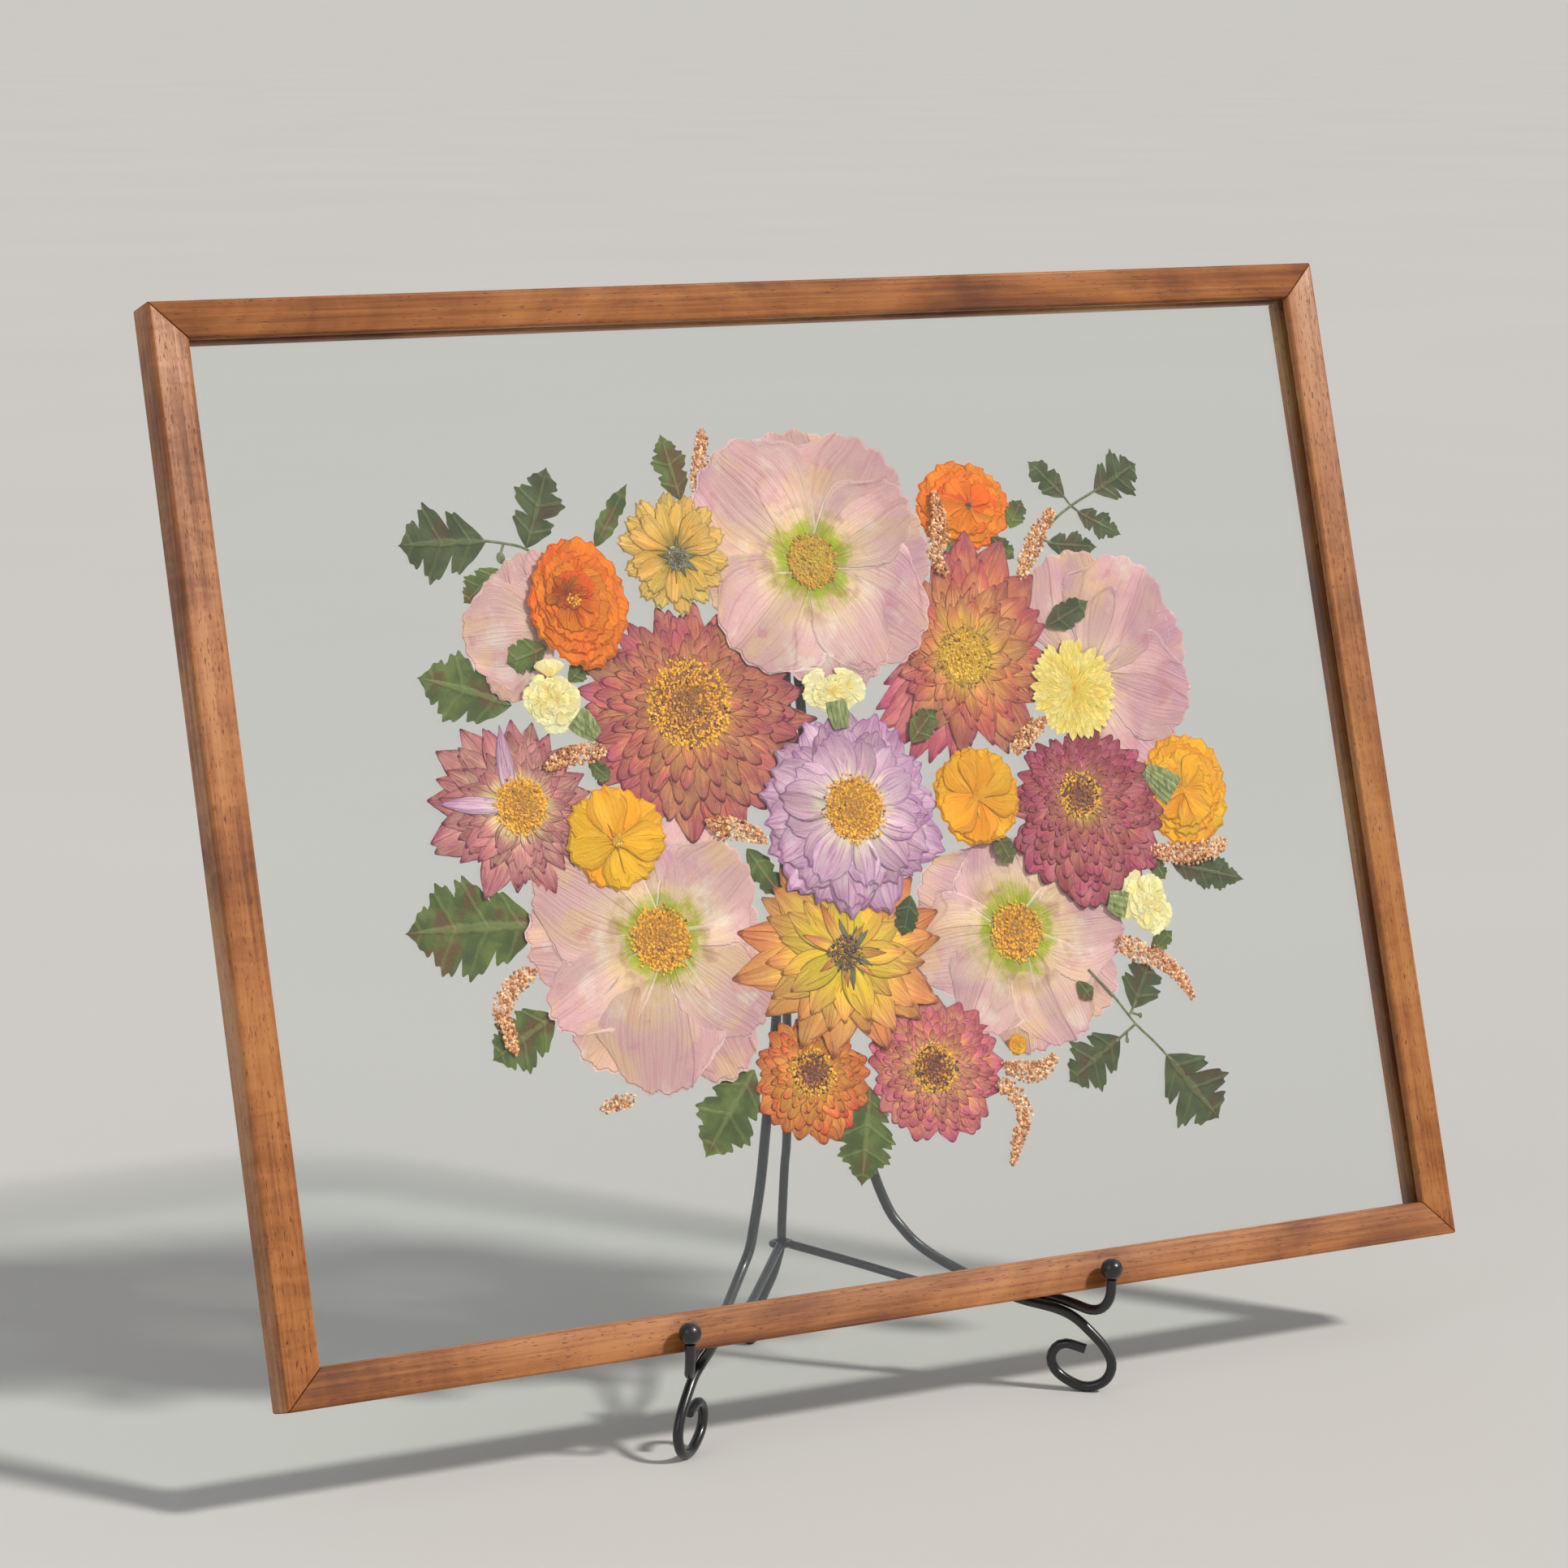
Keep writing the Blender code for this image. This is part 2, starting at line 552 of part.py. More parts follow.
def place_on_ground(stand, parts):
    """Puts the middle of the whole object's box over the origin and its lowest point on z = 0."""
    bpy.context.view_layer.update()
    graph = bpy.context.evaluated_depsgraph_get()
    corners = []
    for obj in parts.objects:
        evaluated = obj.evaluated_get(graph)
        mesh = evaluated.to_mesh()
        corners += [evaluated.matrix_world @ vertex.co for vertex in mesh.vertices]
        evaluated.to_mesh_clear()
    low = [min(c[axis] for c in corners) for axis in range(3)]
    high = [max(c[axis] for c in corners) for axis in range(3)]
    stand.location = (-(low[0] + high[0]) / 2, -(low[1] + high[1]) / 2, -low[2])


def main():
    clear_scene()
    parts = new_collection("pressed_flower_frame")
    helpers = new_collection("joining_shapes", hidden=True)
    stand = bpy.data.objects.new("stand", None)
    lean = bpy.data.objects.new("lean", None)
    mirror_plane = bpy.data.objects.new("mirror_plane", None)
    for empty in (stand, lean, mirror_plane):
        bpy.context.scene.collection.objects.link(empty)
    lean.parent = stand
    lean.location = (0.0, 0.0, FACE_HEIGHT * MM)
    lean.rotation_euler = (-LEAN, 0.0, 0.0)
    mirror_plane.parent = stand
    mirror_plane.location = (EASEL_X * MM, 0.0, 0.0)

    rails_and_beads(lean, parts)
    glass = material("clear_glass", CLEAR_GLASS, 0.05)
    pane("front_pane", LIP + CLEAR, glass, lean, parts)
    pane("back_pane", LIP + CLEAR + GLASS + GLASS_SPACE, glass, lean, parts)
    specimens(lean, parts, helpers)
    easel(mirror_plane, parts, helpers)
    place_on_ground(stand, parts)


main()
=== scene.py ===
# %% [markdown]
# # A pressed flower frame on a wire easel
# Dried blooms, leaves and amaranth lie flat between two panes of glass, inside four slim stained
# rails. The solids of the frame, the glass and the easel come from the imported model. This lesson
# gives them their finishes and grows every petal, leaf and grain in the narrow space between the panes.

import json
import math

import bmesh
import bpy
import numpy as np
from mathutils import Matrix, Vector

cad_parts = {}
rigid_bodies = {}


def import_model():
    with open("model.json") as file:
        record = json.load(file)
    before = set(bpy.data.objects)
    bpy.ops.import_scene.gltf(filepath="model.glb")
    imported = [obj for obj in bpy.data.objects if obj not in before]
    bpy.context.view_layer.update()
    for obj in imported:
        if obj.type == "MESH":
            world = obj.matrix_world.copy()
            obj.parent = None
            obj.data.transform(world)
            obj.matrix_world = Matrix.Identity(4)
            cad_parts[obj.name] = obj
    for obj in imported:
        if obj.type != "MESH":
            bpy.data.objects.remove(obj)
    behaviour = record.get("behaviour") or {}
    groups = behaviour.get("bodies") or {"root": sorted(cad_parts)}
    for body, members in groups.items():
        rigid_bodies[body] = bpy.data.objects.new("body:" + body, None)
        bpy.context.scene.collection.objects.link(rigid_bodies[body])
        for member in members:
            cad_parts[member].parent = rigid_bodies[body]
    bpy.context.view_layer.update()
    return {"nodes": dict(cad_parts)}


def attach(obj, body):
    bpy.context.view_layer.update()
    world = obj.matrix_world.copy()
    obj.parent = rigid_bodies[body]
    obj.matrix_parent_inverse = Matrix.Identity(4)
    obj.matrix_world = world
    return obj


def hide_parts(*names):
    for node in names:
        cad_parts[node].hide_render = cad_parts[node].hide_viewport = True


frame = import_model()
NODES = frame["nodes"]
MM = 0.001
print(len(NODES), "solids loaded")

# %% [markdown]
# The rails lean back on the easel. Measuring every piece in the leaning plane keeps the flowers easy to
# place: u runs to the right, v runs up the glass and w comes out towards the viewer, in millimetres
# from the middle of the frame's face. All three directions are read from the front pane's own corners.

# %% Axes of the leaning face
def corners(node):
    return np.array([vertex.co for vertex in NODES[node].data.vertices])


pane_corners = np.unique(np.round(corners("front_pane"), 6), axis=0)
by_height = pane_corners[np.argsort(pane_corners[:, 2])]
RIGHT = Vector((1.0, 0.0, 0.0))
UP = Vector(by_height[-4:].mean(axis=0) - by_height[:4].mean(axis=0)).normalized()
OUT = RIGHT.cross(UP)
face_reach = max((corners(f"{side}_rail") @ np.array(OUT)).max() for side in ("top", "left"))
pane_middle = Vector(pane_corners.mean(axis=0))
FACE_CENTRE = pane_middle + OUT * (face_reach - pane_middle.dot(OUT))
FACE_TURN = Matrix((RIGHT, UP, OUT)).transposed().to_4x4()
TO_ROW = Matrix.Translation(FACE_CENTRE) @ FACE_TURN @ Matrix.Scale(MM, 4)


def in_face(node):
    """A solid's corners as (u, v, w) in millimetres."""
    flat = np.array(TO_ROW.inverted())
    return corners(node) @ flat[:3, :3].T + flat[:3, 3]


def middle_and_reach(node):
    """Middle of a specimen's solid, and half its size across and up."""
    low, high = in_face(node).min(axis=0), in_face(node).max(axis=0)
    return (low + high) / 2, (high - low) / 2


LEAN = math.degrees(math.acos(UP.z))
print(f"the face leans back {LEAN:.1f} degrees, its middle is {FACE_CENTRE.z / MM:.1f} mm up")

# %% [markdown]
# The camera stands to the left of the frame, a little above its middle, with a long lens, so that the
# right side runs away from it and the inner side of the right rail shows through the opening.

# %% Camera
CAMERA_FROM_FACE = Vector((-0.8187, -1.5031, 0.3035))
CAMERA_LOOKS = Vector((0.4604, 0.8708, -0.1726))
LENS = 103.8

camera = bpy.data.objects.new("camera", bpy.data.cameras.new("camera"))
bpy.context.scene.collection.objects.link(camera)
camera.data.lens = LENS
camera.data.sensor_width = 36.0
camera.location = FACE_CENTRE + CAMERA_FROM_FACE
camera.rotation_euler = CAMERA_LOOKS.to_track_quat("-Z", "Y").to_euler()
bpy.context.scene.camera = camera
print("camera", tuple(round(c, 3) for c in camera.location))

# %% [markdown]
# Node trees are easier to read when a node and what feeds it stand on one line. These helpers add a
# node, set its options, and fill its inputs with plain values or with the outputs of other nodes.

# %% Helpers for node trees
def colour(code, alpha=1.0):
    """A colour written as #RRGGBB, in the linear values that Blender works in."""
    parts = [int(code[place:place + 2], 16) / 255 for place in (1, 3, 5)]
    linear = [c / 12.92 if c <= 0.04045 else ((c + 0.055) / 1.055) ** 2.4 for c in parts]
    return (*linear, alpha)


def socket_of(sockets, key):
    """A socket by its number, or the one in use among those of that name."""
    if isinstance(key, int):
        return sockets[key]
    return next(socket for socket in sockets if socket.name == key and socket.enabled)


def node(tree, kind, inputs=None, **options):
    made = tree.nodes.new(kind)
    for option, value in options.items():
        setattr(made, option, value)
    for key, value in (inputs or {}).items():
        socket = socket_of(made.inputs, key)
        if isinstance(value, bpy.types.NodeSocket):
            tree.links.new(value, socket)
        else:
            socket.default_value = value
    return made


def maths(tree, operation, first, second=0.0, third=0.0, clamp=False):
    inputs = {0: first, 1: second, 2: third}
    return node(tree, "ShaderNodeMath", inputs, operation=operation, use_clamp=clamp).outputs[0]


def blend(tree, share, first, second, how="MIX"):
    inputs = {0: share, 6: first, 7: second}
    return node(tree, "ShaderNodeMix", inputs, data_type="RGBA", blend_type=how).outputs[2]


def spread(tree, value, low, high, to_low=0.0, to_high=1.0):
    """value from low..high to to_low..to_high, smoothly and never outside."""
    inputs = {"Value": value, "From Min": low, "From Max": high, "To Min": to_low, "To Max": to_high}
    return node(tree, "ShaderNodeMapRange", inputs, interpolation_type="SMOOTHSTEP").outputs[0]


def noise(tree, vector, scale, detail=3.0, roughness=0.55, distortion=0.0):
    inputs = {"Vector": vector, "Scale": scale, "Detail": detail, "Roughness": roughness,
              "Distortion": distortion}
    return node(tree, "ShaderNodeTexNoise", inputs).outputs[0]


def ramp(tree, value, stops):
    made = node(tree, "ShaderNodeValToRGB", {0: value})
    elements = made.color_ramp.elements
    while len(elements) < len(stops):
        elements.new(1.0)
    for element, (place, shade) in zip(elements, stops):
        element.position = place
        element.color = shade
    return made.outputs[0]


def stretched(tree, vector, scale, turn=(0.0, 0.0, 0.0), shift=(0.0, 0.0, 0.0)):
    inputs = {"Vector": vector, "Scale": scale, "Rotation": turn, "Location": shift}
    return node(tree, "ShaderNodeMapping", inputs).outputs[0]


def group(name, kind, inputs, outputs):
    """A node group with named inputs and outputs: each is (name, socket type[, default])."""
    tree = bpy.data.node_groups.new(name, kind)
    for words in inputs:
        socket = tree.interface.new_socket(words[0], in_out="INPUT", socket_type="NodeSocket" + words[1])
        if len(words) > 2:
            socket.default_value = words[2]
    for word, what in outputs:
        tree.interface.new_socket(word, in_out="OUTPUT", socket_type="NodeSocket" + what)
    return tree, node(tree, "NodeGroupInput").outputs, node(tree, "NodeGroupOutput").inputs


def new_finish(name, **surface):
    """A material with a Principled shader whose plain inputs are set here."""
    made = bpy.data.materials.new(name)
    made.use_nodes = True
    shader = made.node_tree.nodes["Principled BSDF"]
    for key, value in surface.items():
        shader.inputs[key.replace("_", " ").title().replace("Ior", "IOR")].default_value = value
    return made, made.node_tree, shader


def placed_group(tree, group_tree, inputs):
    made = tree.nodes.new("ShaderNodeGroup")
    made.node_tree = group_tree
    for key, value in inputs.items():
        if isinstance(value, bpy.types.NodeSocket):
            tree.links.new(value, made.inputs[key])
        else:
            made.inputs[key].default_value = value
    return made.outputs


print("node helpers ready")

# %% [markdown]
# A plain pale floor reaches past the horizon. A wide soft sun high on the right gives the petals their
# relief and lays one soft shadow behind the frame; a broad lamp on the left keeps that shadow open, and
# the world lights everything a little. The Standard view shows petal colours as they are mixed, where a
# film-like view would wash the oranges and reds out.

# %% Floor and light
FLOOR_SIZE = 600.0

bpy.ops.mesh.primitive_plane_add(size=FLOOR_SIZE)
floor = bpy.context.object
floor.name = "floor"
floor_finish, tree, shader = new_finish("pale_floor", roughness=0.95, specular_ior_level=0.1)
place = node(tree, "ShaderNodeTexCoord").outputs["Object"]
tree.links.new(blend(tree, noise(tree, place, 1.2), colour("#C9C7C3"), colour("#D0CECA")), shader.inputs[0])
floor.data.materials.append(floor_finish)


def lamp(kind, name, from_face, power, tint, **shape):
    light = bpy.data.lights.new(name, kind)
    light.energy = power
    light.color = tint
    for option, value in shape.items():
        setattr(light, option, value)
    made = bpy.data.objects.new(name, light)
    made.location = FACE_CENTRE + Vector(from_face)
    made.rotation_euler = (-Vector(from_face)).to_track_quat("-Z", "Y").to_euler()
    bpy.context.scene.collection.objects.link(made)


bpy.context.scene.view_settings.view_transform = "Standard"
lamp("SUN", "soft_sun", (1.5, -1.7, 2.1), 2.75, (1.0, 0.97, 0.92), angle=math.radians(7.0))
lamp("AREA", "fill", (-2.4, -1.2, 1.3), 9.0, (0.93, 0.96, 1.0), shape="DISK", size=1.8)
world = bpy.data.worlds.new("studio")
bpy.context.scene.world = world
world.use_nodes = True
world.node_tree.nodes["Background"].inputs["Color"].default_value = (0.95, 0.97, 1.0, 1.0)
world.node_tree.nodes["Background"].inputs["Strength"].default_value = 0.42
print("floor and lamps ready")

# %% [markdown]
# The rails are a fine-grained wood under an orange-brown stain that took unevenly. Grain is noise drawn
# out along the rail, pores are a finer noise cut off at a threshold, and the blotches are large and soft.
# Rails and beads both need it, so it is a shader group; each material turns it to run along its piece.

# %% Wood grain group
wood_grain, given, out = group(
    "wood_grain", "ShaderNodeTree",
    [("Along X", "Vector"), ("Figure", "Float", 0.5)],
    [("Tone", "Float"), ("Pores", "Float"), ("Height", "Float")],
)
bent = noise(wood_grain, stretched(wood_grain, given["Along X"], (5.0, 26.0, 26.0)), 1.0, 2.0)
blotch = noise(wood_grain, stretched(wood_grain, given["Along X"], (11.0, 24.0, 24.0)), 1.0, 4.0, 0.6, 0.8)
lines = noise(wood_grain, stretched(wood_grain, given["Along X"], (9.0, 520.0, 520.0)), 1.0, 3.0, 0.6, 0.25)
curl = noise(wood_grain, stretched(wood_grain, given["Along X"], (150.0, 40.0, 40.0)), 1.0, 3.0, 0.6, 1.2)
flecks = noise(wood_grain, stretched(wood_grain, given["Along X"], (260.0, 1900.0, 1900.0)), 1.0, 2.0)
tone = maths(wood_grain, "MULTIPLY_ADD", lines, 0.42, maths(wood_grain, "MULTIPLY", blotch, 0.75))
curled = maths(wood_grain, "MULTIPLY", curl, maths(wood_grain, "MULTIPLY", bent, given["Figure"]))
tone = maths(wood_grain, "ADD", tone, maths(wood_grain, "MULTIPLY", curled, 0.35))
pores = spread(wood_grain, flecks, 0.60, 0.72)
wood_grain.links.new(spread(wood_grain, tone, 0.42, 0.86), out["Tone"])
wood_grain.links.new(pores, out["Pores"])
height = maths(wood_grain, "SUBTRACT", maths(wood_grain, "MULTIPLY", lines, 0.5), pores)
wood_grain.links.new(height, out["Height"])


def wood(name, turn, stops, figure, roughness):
    """Stained wood whose grain runs along X after the turn."""
    finish, tree, shader = new_finish(name, specular_ior_level=0.42)
    place = node(tree, "ShaderNodeTexCoord").outputs["Object"]
    along = stretched(tree, place, (1.0, 1.0, 1.0), turn)
    grain = placed_group(tree, wood_grain, {"Along X": along, "Figure": figure})
    shade = blend(tree, grain["Pores"], ramp(tree, grain["Tone"], stops), stops[0][1])
    tree.links.new(shade, shader.inputs["Base Color"])
    tree.links.new(spread(tree, grain["Tone"], 0.0, 1.0, roughness + 0.1, roughness - 0.06),
                   shader.inputs["Roughness"])
    bump = node(tree, "ShaderNodeBump", {"Height": grain["Height"], "Strength": 0.35, "Distance": 0.00025})
    tree.links.new(bump.outputs[0], shader.inputs["Normal"])
    return finish


STAIN = [(0.0, colour("#643214")), (0.35, colour("#8C5020")), (0.7, colour("#A86834")),
         (1.0, colour("#B87C44"))]
# The beads' stain is lighter than the rails': partly a paler wood, partly painted sunlight on their faces.
BEAD_STAIN_AND_PAINTED_LIGHT = [(0.0, colour("#6B3410")), (0.5, colour("#A8642A")), (1.0, colour("#D09A58"))]
UPRIGHT = (math.radians(LEAN), math.pi / 2, 0.0)
level_wood = wood("stained_rail_level", (0.0, 0.0, 0.0), STAIN, 0.3, 0.46)
upright_wood = wood("stained_rail_upright", UPRIGHT, STAIN, 1.0, 0.46)
level_bead = wood("bead_level", (0.0, 0.0, 0.0), BEAD_STAIN_AND_PAINTED_LIGHT, 0.2, 0.55)
upright_bead = wood("bead_upright", UPRIGHT, BEAD_STAIN_AND_PAINTED_LIGHT, 0.4, 0.55)
print("wood finishes ready")

# %% [markdown]
# A sawn rail never has a knife-sharp arris: sanding breaks it and stain darkens it. Each rail and bead is
# a copy of its solid, welded into one skin, with a small rounded Bevel on every corner.

# %% Rails and beads with sanded arrises
def smooth(mesh, angle=38.0):
    mesh.shade_smooth()
    mesh.set_sharp_from_angle(angle=math.radians(angle))


def finished(name, mesh, finish, slot, *replaced):
    """A piece in its place, riding on the part, with the solids that it stands for hidden; its slot is not
    used.
    """
    piece = bpy.data.objects.new(name, mesh)
    bpy.context.scene.collection.objects.link(piece)
    mesh.materials.clear()
    mesh.materials.append(finish)
    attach(piece, "root")
    if replaced:
        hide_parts(*replaced)
    return piece


def evaluated_mesh(obj):
    graph = bpy.context.evaluated_depsgraph_get()
    return bpy.data.meshes.new_from_object(obj.evaluated_get(graph))


def sanded(node_name, width):
    """A solid's copy, merged and with its corners rounded."""
    mesh = NODES[node_name].data.copy()
    skin = bmesh.new()
    skin.from_mesh(mesh)
    bmesh.ops.remove_doubles(skin, verts=skin.verts, dist=1e-6)
    bmesh.ops.dissolve_limit(skin, angle_limit=math.radians(1.0), verts=skin.verts, edges=skin.edges)
    bmesh.ops.recalc_face_normals(skin, faces=skin.faces)
    skin.to_mesh(mesh)
    skin.free()
    body = bpy.data.objects.new("sanding", mesh)
    bpy.context.scene.collection.objects.link(body)
    bevel = body.modifiers.new("arris", "BEVEL")
    bevel.width = width * MM
    bevel.segments = 2
    bevel.limit_method = "ANGLE"
    bevel.angle_limit = math.radians(20)
    result = evaluated_mesh(body)
    bpy.data.objects.remove(body)
    smooth(result, 50)
    return result


for side, rail_finish, bead_finish in (
    ("top", level_wood, level_bead), ("bottom", level_wood, level_bead),
    ("left", upright_wood, upright_bead), ("right", upright_wood, upright_bead),
):
    rail = finished(f"{side}_rail_sanded", sanded(f"{side}_rail", 0.28), rail_finish, "stained_wood",
                    f"{side}_rail")
    bead = finished(f"{side}_bead_sanded", sanded(f"{side}_bead", 0.35), bead_finish, "bead_wood",
                    f"{side}_bead")
    print(rail.name, len(rail.data.polygons), "faces,", bead.name, len(bead.data.polygons), "faces")

# %% [markdown]
# Clear glass is a Principled shader with full transmission. Lamp light would stop at it, because a path
# tracer can't aim a shadow ray through a bend, so for shadow rays the glass is swapped for a Transparent
# shader with a faint green tint. Rays that leave a petal in search of light get the same, or the lamps
# would be counted twice, once straight and once through the bend. Picture glass is coated against glare,
# so its gloss is low. The flowers between the panes are then lit as in the sun.

# %% Glass
def window_glass(name):
    finish, tree, shader = new_finish(name, base_color=(0.985, 0.995, 0.99, 1.0), roughness=0.0,
                                      transmission_weight=1.0)
    shader.inputs["IOR"].default_value = 1.5
    shader.inputs["Specular IOR Level"].default_value = 0.25
    passing = node(tree, "ShaderNodeBsdfTransparent", {"Color": (0.95, 0.97, 0.96, 1.0)}).outputs[0]
    path = node(tree, "ShaderNodeLightPath").outputs
    mixed = shader.outputs[0]
    for kind in ("Is Shadow Ray", "Is Diffuse Ray"):
        mixed = node(tree, "ShaderNodeMixShader", {0: path[kind], 1: mixed, 2: passing}).outputs[0]
    tree.links.new(mixed, tree.nodes["Material Output"].inputs["Surface"])
    return finish


clear_glass = window_glass("clear_glass")
for pane_name in ("front_pane", "back_pane"):
    NODES[pane_name].data.materials.clear()
    NODES[pane_name].data.materials.append(clear_glass)
print("two panes glazed")

# %% [markdown]
# The easel is bent round wire. A wire follows a path, so one small Geometry Nodes tree sweeps a circle
# along a smooth curve through the same points that the solids were bent on. The scroll feet stay round
# because the curve between the points is a Catmull-Rom one, like a batten held by pins.

# %% Wire tree
def tree_in_nodes(name, inputs):
    return group(name, "GeometryNodeTree", inputs, [("Geometry", "Geometry")])


wire_tree, given, out = tree_in_nodes(
    "bent_wire",
    [("Geometry", "Geometry"), ("Radius", "Float", 2.0), ("Sides", "Int", 16), ("Finish", "Material")],
)
circle = node(wire_tree, "GeometryNodeCurvePrimitiveCircle",
              {"Resolution": given["Sides"], "Radius": given["Radius"]}).outputs[0]
swept = node(wire_tree, "GeometryNodeCurveToMesh",
             {"Curve": given["Geometry"], "Profile Curve": circle, "Fill Caps": True}).outputs[0]
swept = node(wire_tree, "GeometryNodeRealizeInstances", {"Geometry": swept}).outputs[0]
swept = node(wire_tree, "GeometryNodeSetMaterial",
             {"Geometry": swept, "Material": given["Finish"]}).outputs[0]
wire_tree.links.new(swept, out["Geometry"])


def grow(tree, values, host_data=None):
    """The mesh that a tree makes with these values for its named inputs."""
    host = bpy.data.objects.new("host", host_data or bpy.data.meshes.new("host"))
    bpy.context.scene.collection.objects.link(host)
    modifier = host.modifiers.new("grow", "NODES")
    modifier.node_group = tree
    for item in tree.interface.items_tree:
        if item.item_type == "SOCKET" and item.in_out == "INPUT" and item.name in values:
            modifier[item.identifier] = values[item.name]
    mesh = evaluated_mesh(host)
    bpy.data.objects.remove(host)
    return mesh


def catmull_rom(points, step):
    """Points about a step apart on the smooth curve through the given ones."""
    route = [Vector(p) for p in points]
    padded = [2 * route[0] - route[1]] + route + [2 * route[-1] - route[-2]]
    found = []
    for a, b, c, d in zip(padded, padded[1:], padded[2:], padded[3:]):
        pieces = max(1, round((c - b).length / step))
        for t in (piece / pieces for piece in range(pieces)):
            found.append(0.5 * (2 * b + (c - a) * t + (2 * a - 5 * b + 4 * c - d) * t**2
                                + (3 * b - a - 3 * c + d) * t**3))
    return found + [route[-1]]


def path_curve(points, closed=False, radii=None):
    curve = bpy.data.curves.new("path", "CURVE")
    curve.dimensions = "3D"
    spline = curve.splines.new("POLY")
    spline.points.add(len(points) - 1)
    for number, (point, place) in enumerate(zip(spline.points, points)):
        point.co = (*place, 1.0)
        point.radius = radii[number] if radii else 1.0
    spline.use_cyclic_u = closed
    return curve


print("wire tree ready")

# %% [markdown]
# Black enamel on wire is smooth and slightly pooled, with long highlights. A faint low bump breaks the
# highlights as a dipped coat does, and the roughness wanders a little where hands have polished it.

# %% Black wire finish
black_wire, tree, shader = new_finish("black_wire", coat_weight=0.35, coat_roughness=0.12, metallic=0.0)
place = node(tree, "ShaderNodeTexCoord").outputs["Object"]
wander = noise(tree, place, 90.0, 4.0)
tree.links.new(blend(tree, wander, colour("#0B0B0C"), colour("#1B1B1D")), shader.inputs["Base Color"])
tree.links.new(spread(tree, wander, 0.3, 0.7, 0.24, 0.4), shader.inputs["Roughness"])
bump = node(tree, "ShaderNodeBump", {"Height": noise(tree, place, 420.0, 2.0), "Strength": 0.25,
                                     "Distance": 0.0002})
tree.links.new(bump.outputs[0], shader.inputs["Normal"])
print("black enamel ready")

# %% [markdown]
# The easel's routes are in its own mirror plane, in millimetres from the ground under the frame's middle.
# The face's height over that ground is known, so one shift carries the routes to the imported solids.

# %% Easel
EASEL_X = -5.0
FACE_HEIGHT = 236.5
WIRE = 4.0
BACK_WIRE = 3.6
BRACE_WIRE = 3.4
EYE_WIRE = BRACE_WIRE * 0.8
BALL = 8.5
LEG_ROUTE = [
    (2.3, 33.8, 300.0), (2.6, 31.5, 285.0), (4.5, 27.0, 240.0), (9.0, 21.5, 185.0), (15.0, 16.8, 138.0),
    (20.5, 13.2, 106.8), (24.6, 10.2, 84.0), (29.9, 6.0, 67.1), (33.9, 1.9, 59.7), (38.5, -1.2, 53.8),
    (44.4, -6.4, 48.6), (51.3, -13.6, 44.0), (60.6, -24.5, 38.8), (67.5, -34.0, 35.6),
    (77.6, -44.5, 33.0), (83.3, -49.3, 29.8), (88.2, -53.4, 24.4), (92.4, -56.9, 18.4), (94.7, -58.9, 12.0),
    (93.6, -58.0, 6.3), (90.4, -55.3, 2.9), (85.9, -51.5, 2.05), (81.0, -47.4, 4.6), (77.6, -44.5, 8.3),
    (76.4, -43.5, 12.8), (77.7, -44.6, 17.0), (80.9, -47.3, 19.0), (86.8, -52.2, 17.2),
]
HOOK_ROUTE = [
    (62.9, -22.3, 42.2), (69.9, -31.8, 39.0), (74.8, -37.4, 37.4), (79.8, -42.4, 36.2), (84.0, -48.2, 34.8),
    (87.6, -54.6, 33.6), (90.0, -59.4, 35.4), (91.3, -62.5, 40.4), (91.6, -63.2, 47.5),
]
KNOB = (91.6, -63.0, 51.6)
BACK_LEG_ROUTE = [
    (0.0, 38.2, 297.0), (0.0, 36.6, 220.0), (0.0, 35.0, 150.0), (0.0, 34.9, 96.8), (0.0, 37.0, 79.7),
    (0.0, 39.0, 59.2), (0.0, 39.7, 49.0), (0.0, 41.8, 43.0), (0.0, 46.6, 33.9), (0.0, 53.6, 24.5),
    (0.0, 59.8, 15.5), (0.0, 64.0, 7.5),
]
FOOT = (0.0, 65.6, BALL / 2 + 0.05)
BRACE_ARM = [(60.0, -26.0, 34.4), (40.0, -7.0, 38.5), (20.0, 15.5, 44.0), (2.4, 36.9, 48.4)]
EYE_CENTRE = (0.0, 39.7, 48.4)
EYE_RADIUS = 3.7
GROUND = Matrix.Translation(FACE_CENTRE + Vector((EASEL_X, 0.0, -FACE_HEIGHT)) * MM) @ Matrix.Scale(MM, 4)


def mesh_of(parts, to_row):
    """Several meshes as one, moved to their place."""
    whole = bmesh.new()
    for part in parts:
        whole.from_mesh(part)
        bpy.data.meshes.remove(part)
    bmesh.ops.transform(whole, matrix=to_row, verts=whole.verts)
    mesh = bpy.data.meshes.new("part")
    whole.to_mesh(mesh)
    whole.free()
    return mesh


def bent_wire(route, width, side=1, step=2.0):
    points = [Vector((side * x, y, z)) for x, y, z in catmull_rom(route, step)]
    return grow(wire_tree, {"Radius": width / 2, "Sides": 16, "Finish": black_wire}, path_curve(points))


def ball_mesh(centre, side=1):
    mesh = bpy.data.meshes.new("ball")
    shape = bmesh.new()
    bmesh.ops.create_uvsphere(shape, u_segments=32, v_segments=20, radius=BALL / 2)
    bmesh.ops.translate(shape, vec=(side * centre[0], centre[1], centre[2]), verts=shape.verts)
    shape.to_mesh(mesh)
    shape.free()
    return mesh


def easel_piece(name, parts, replaced):
    mesh = mesh_of(parts, GROUND)
    smooth(mesh, 60)
    piece = finished(name, mesh, black_wire, "black_wire", replaced)
    print(name, "lowest point", round(min(v.co.z for v in mesh.vertices) / MM, 2), "mm")
    return piece


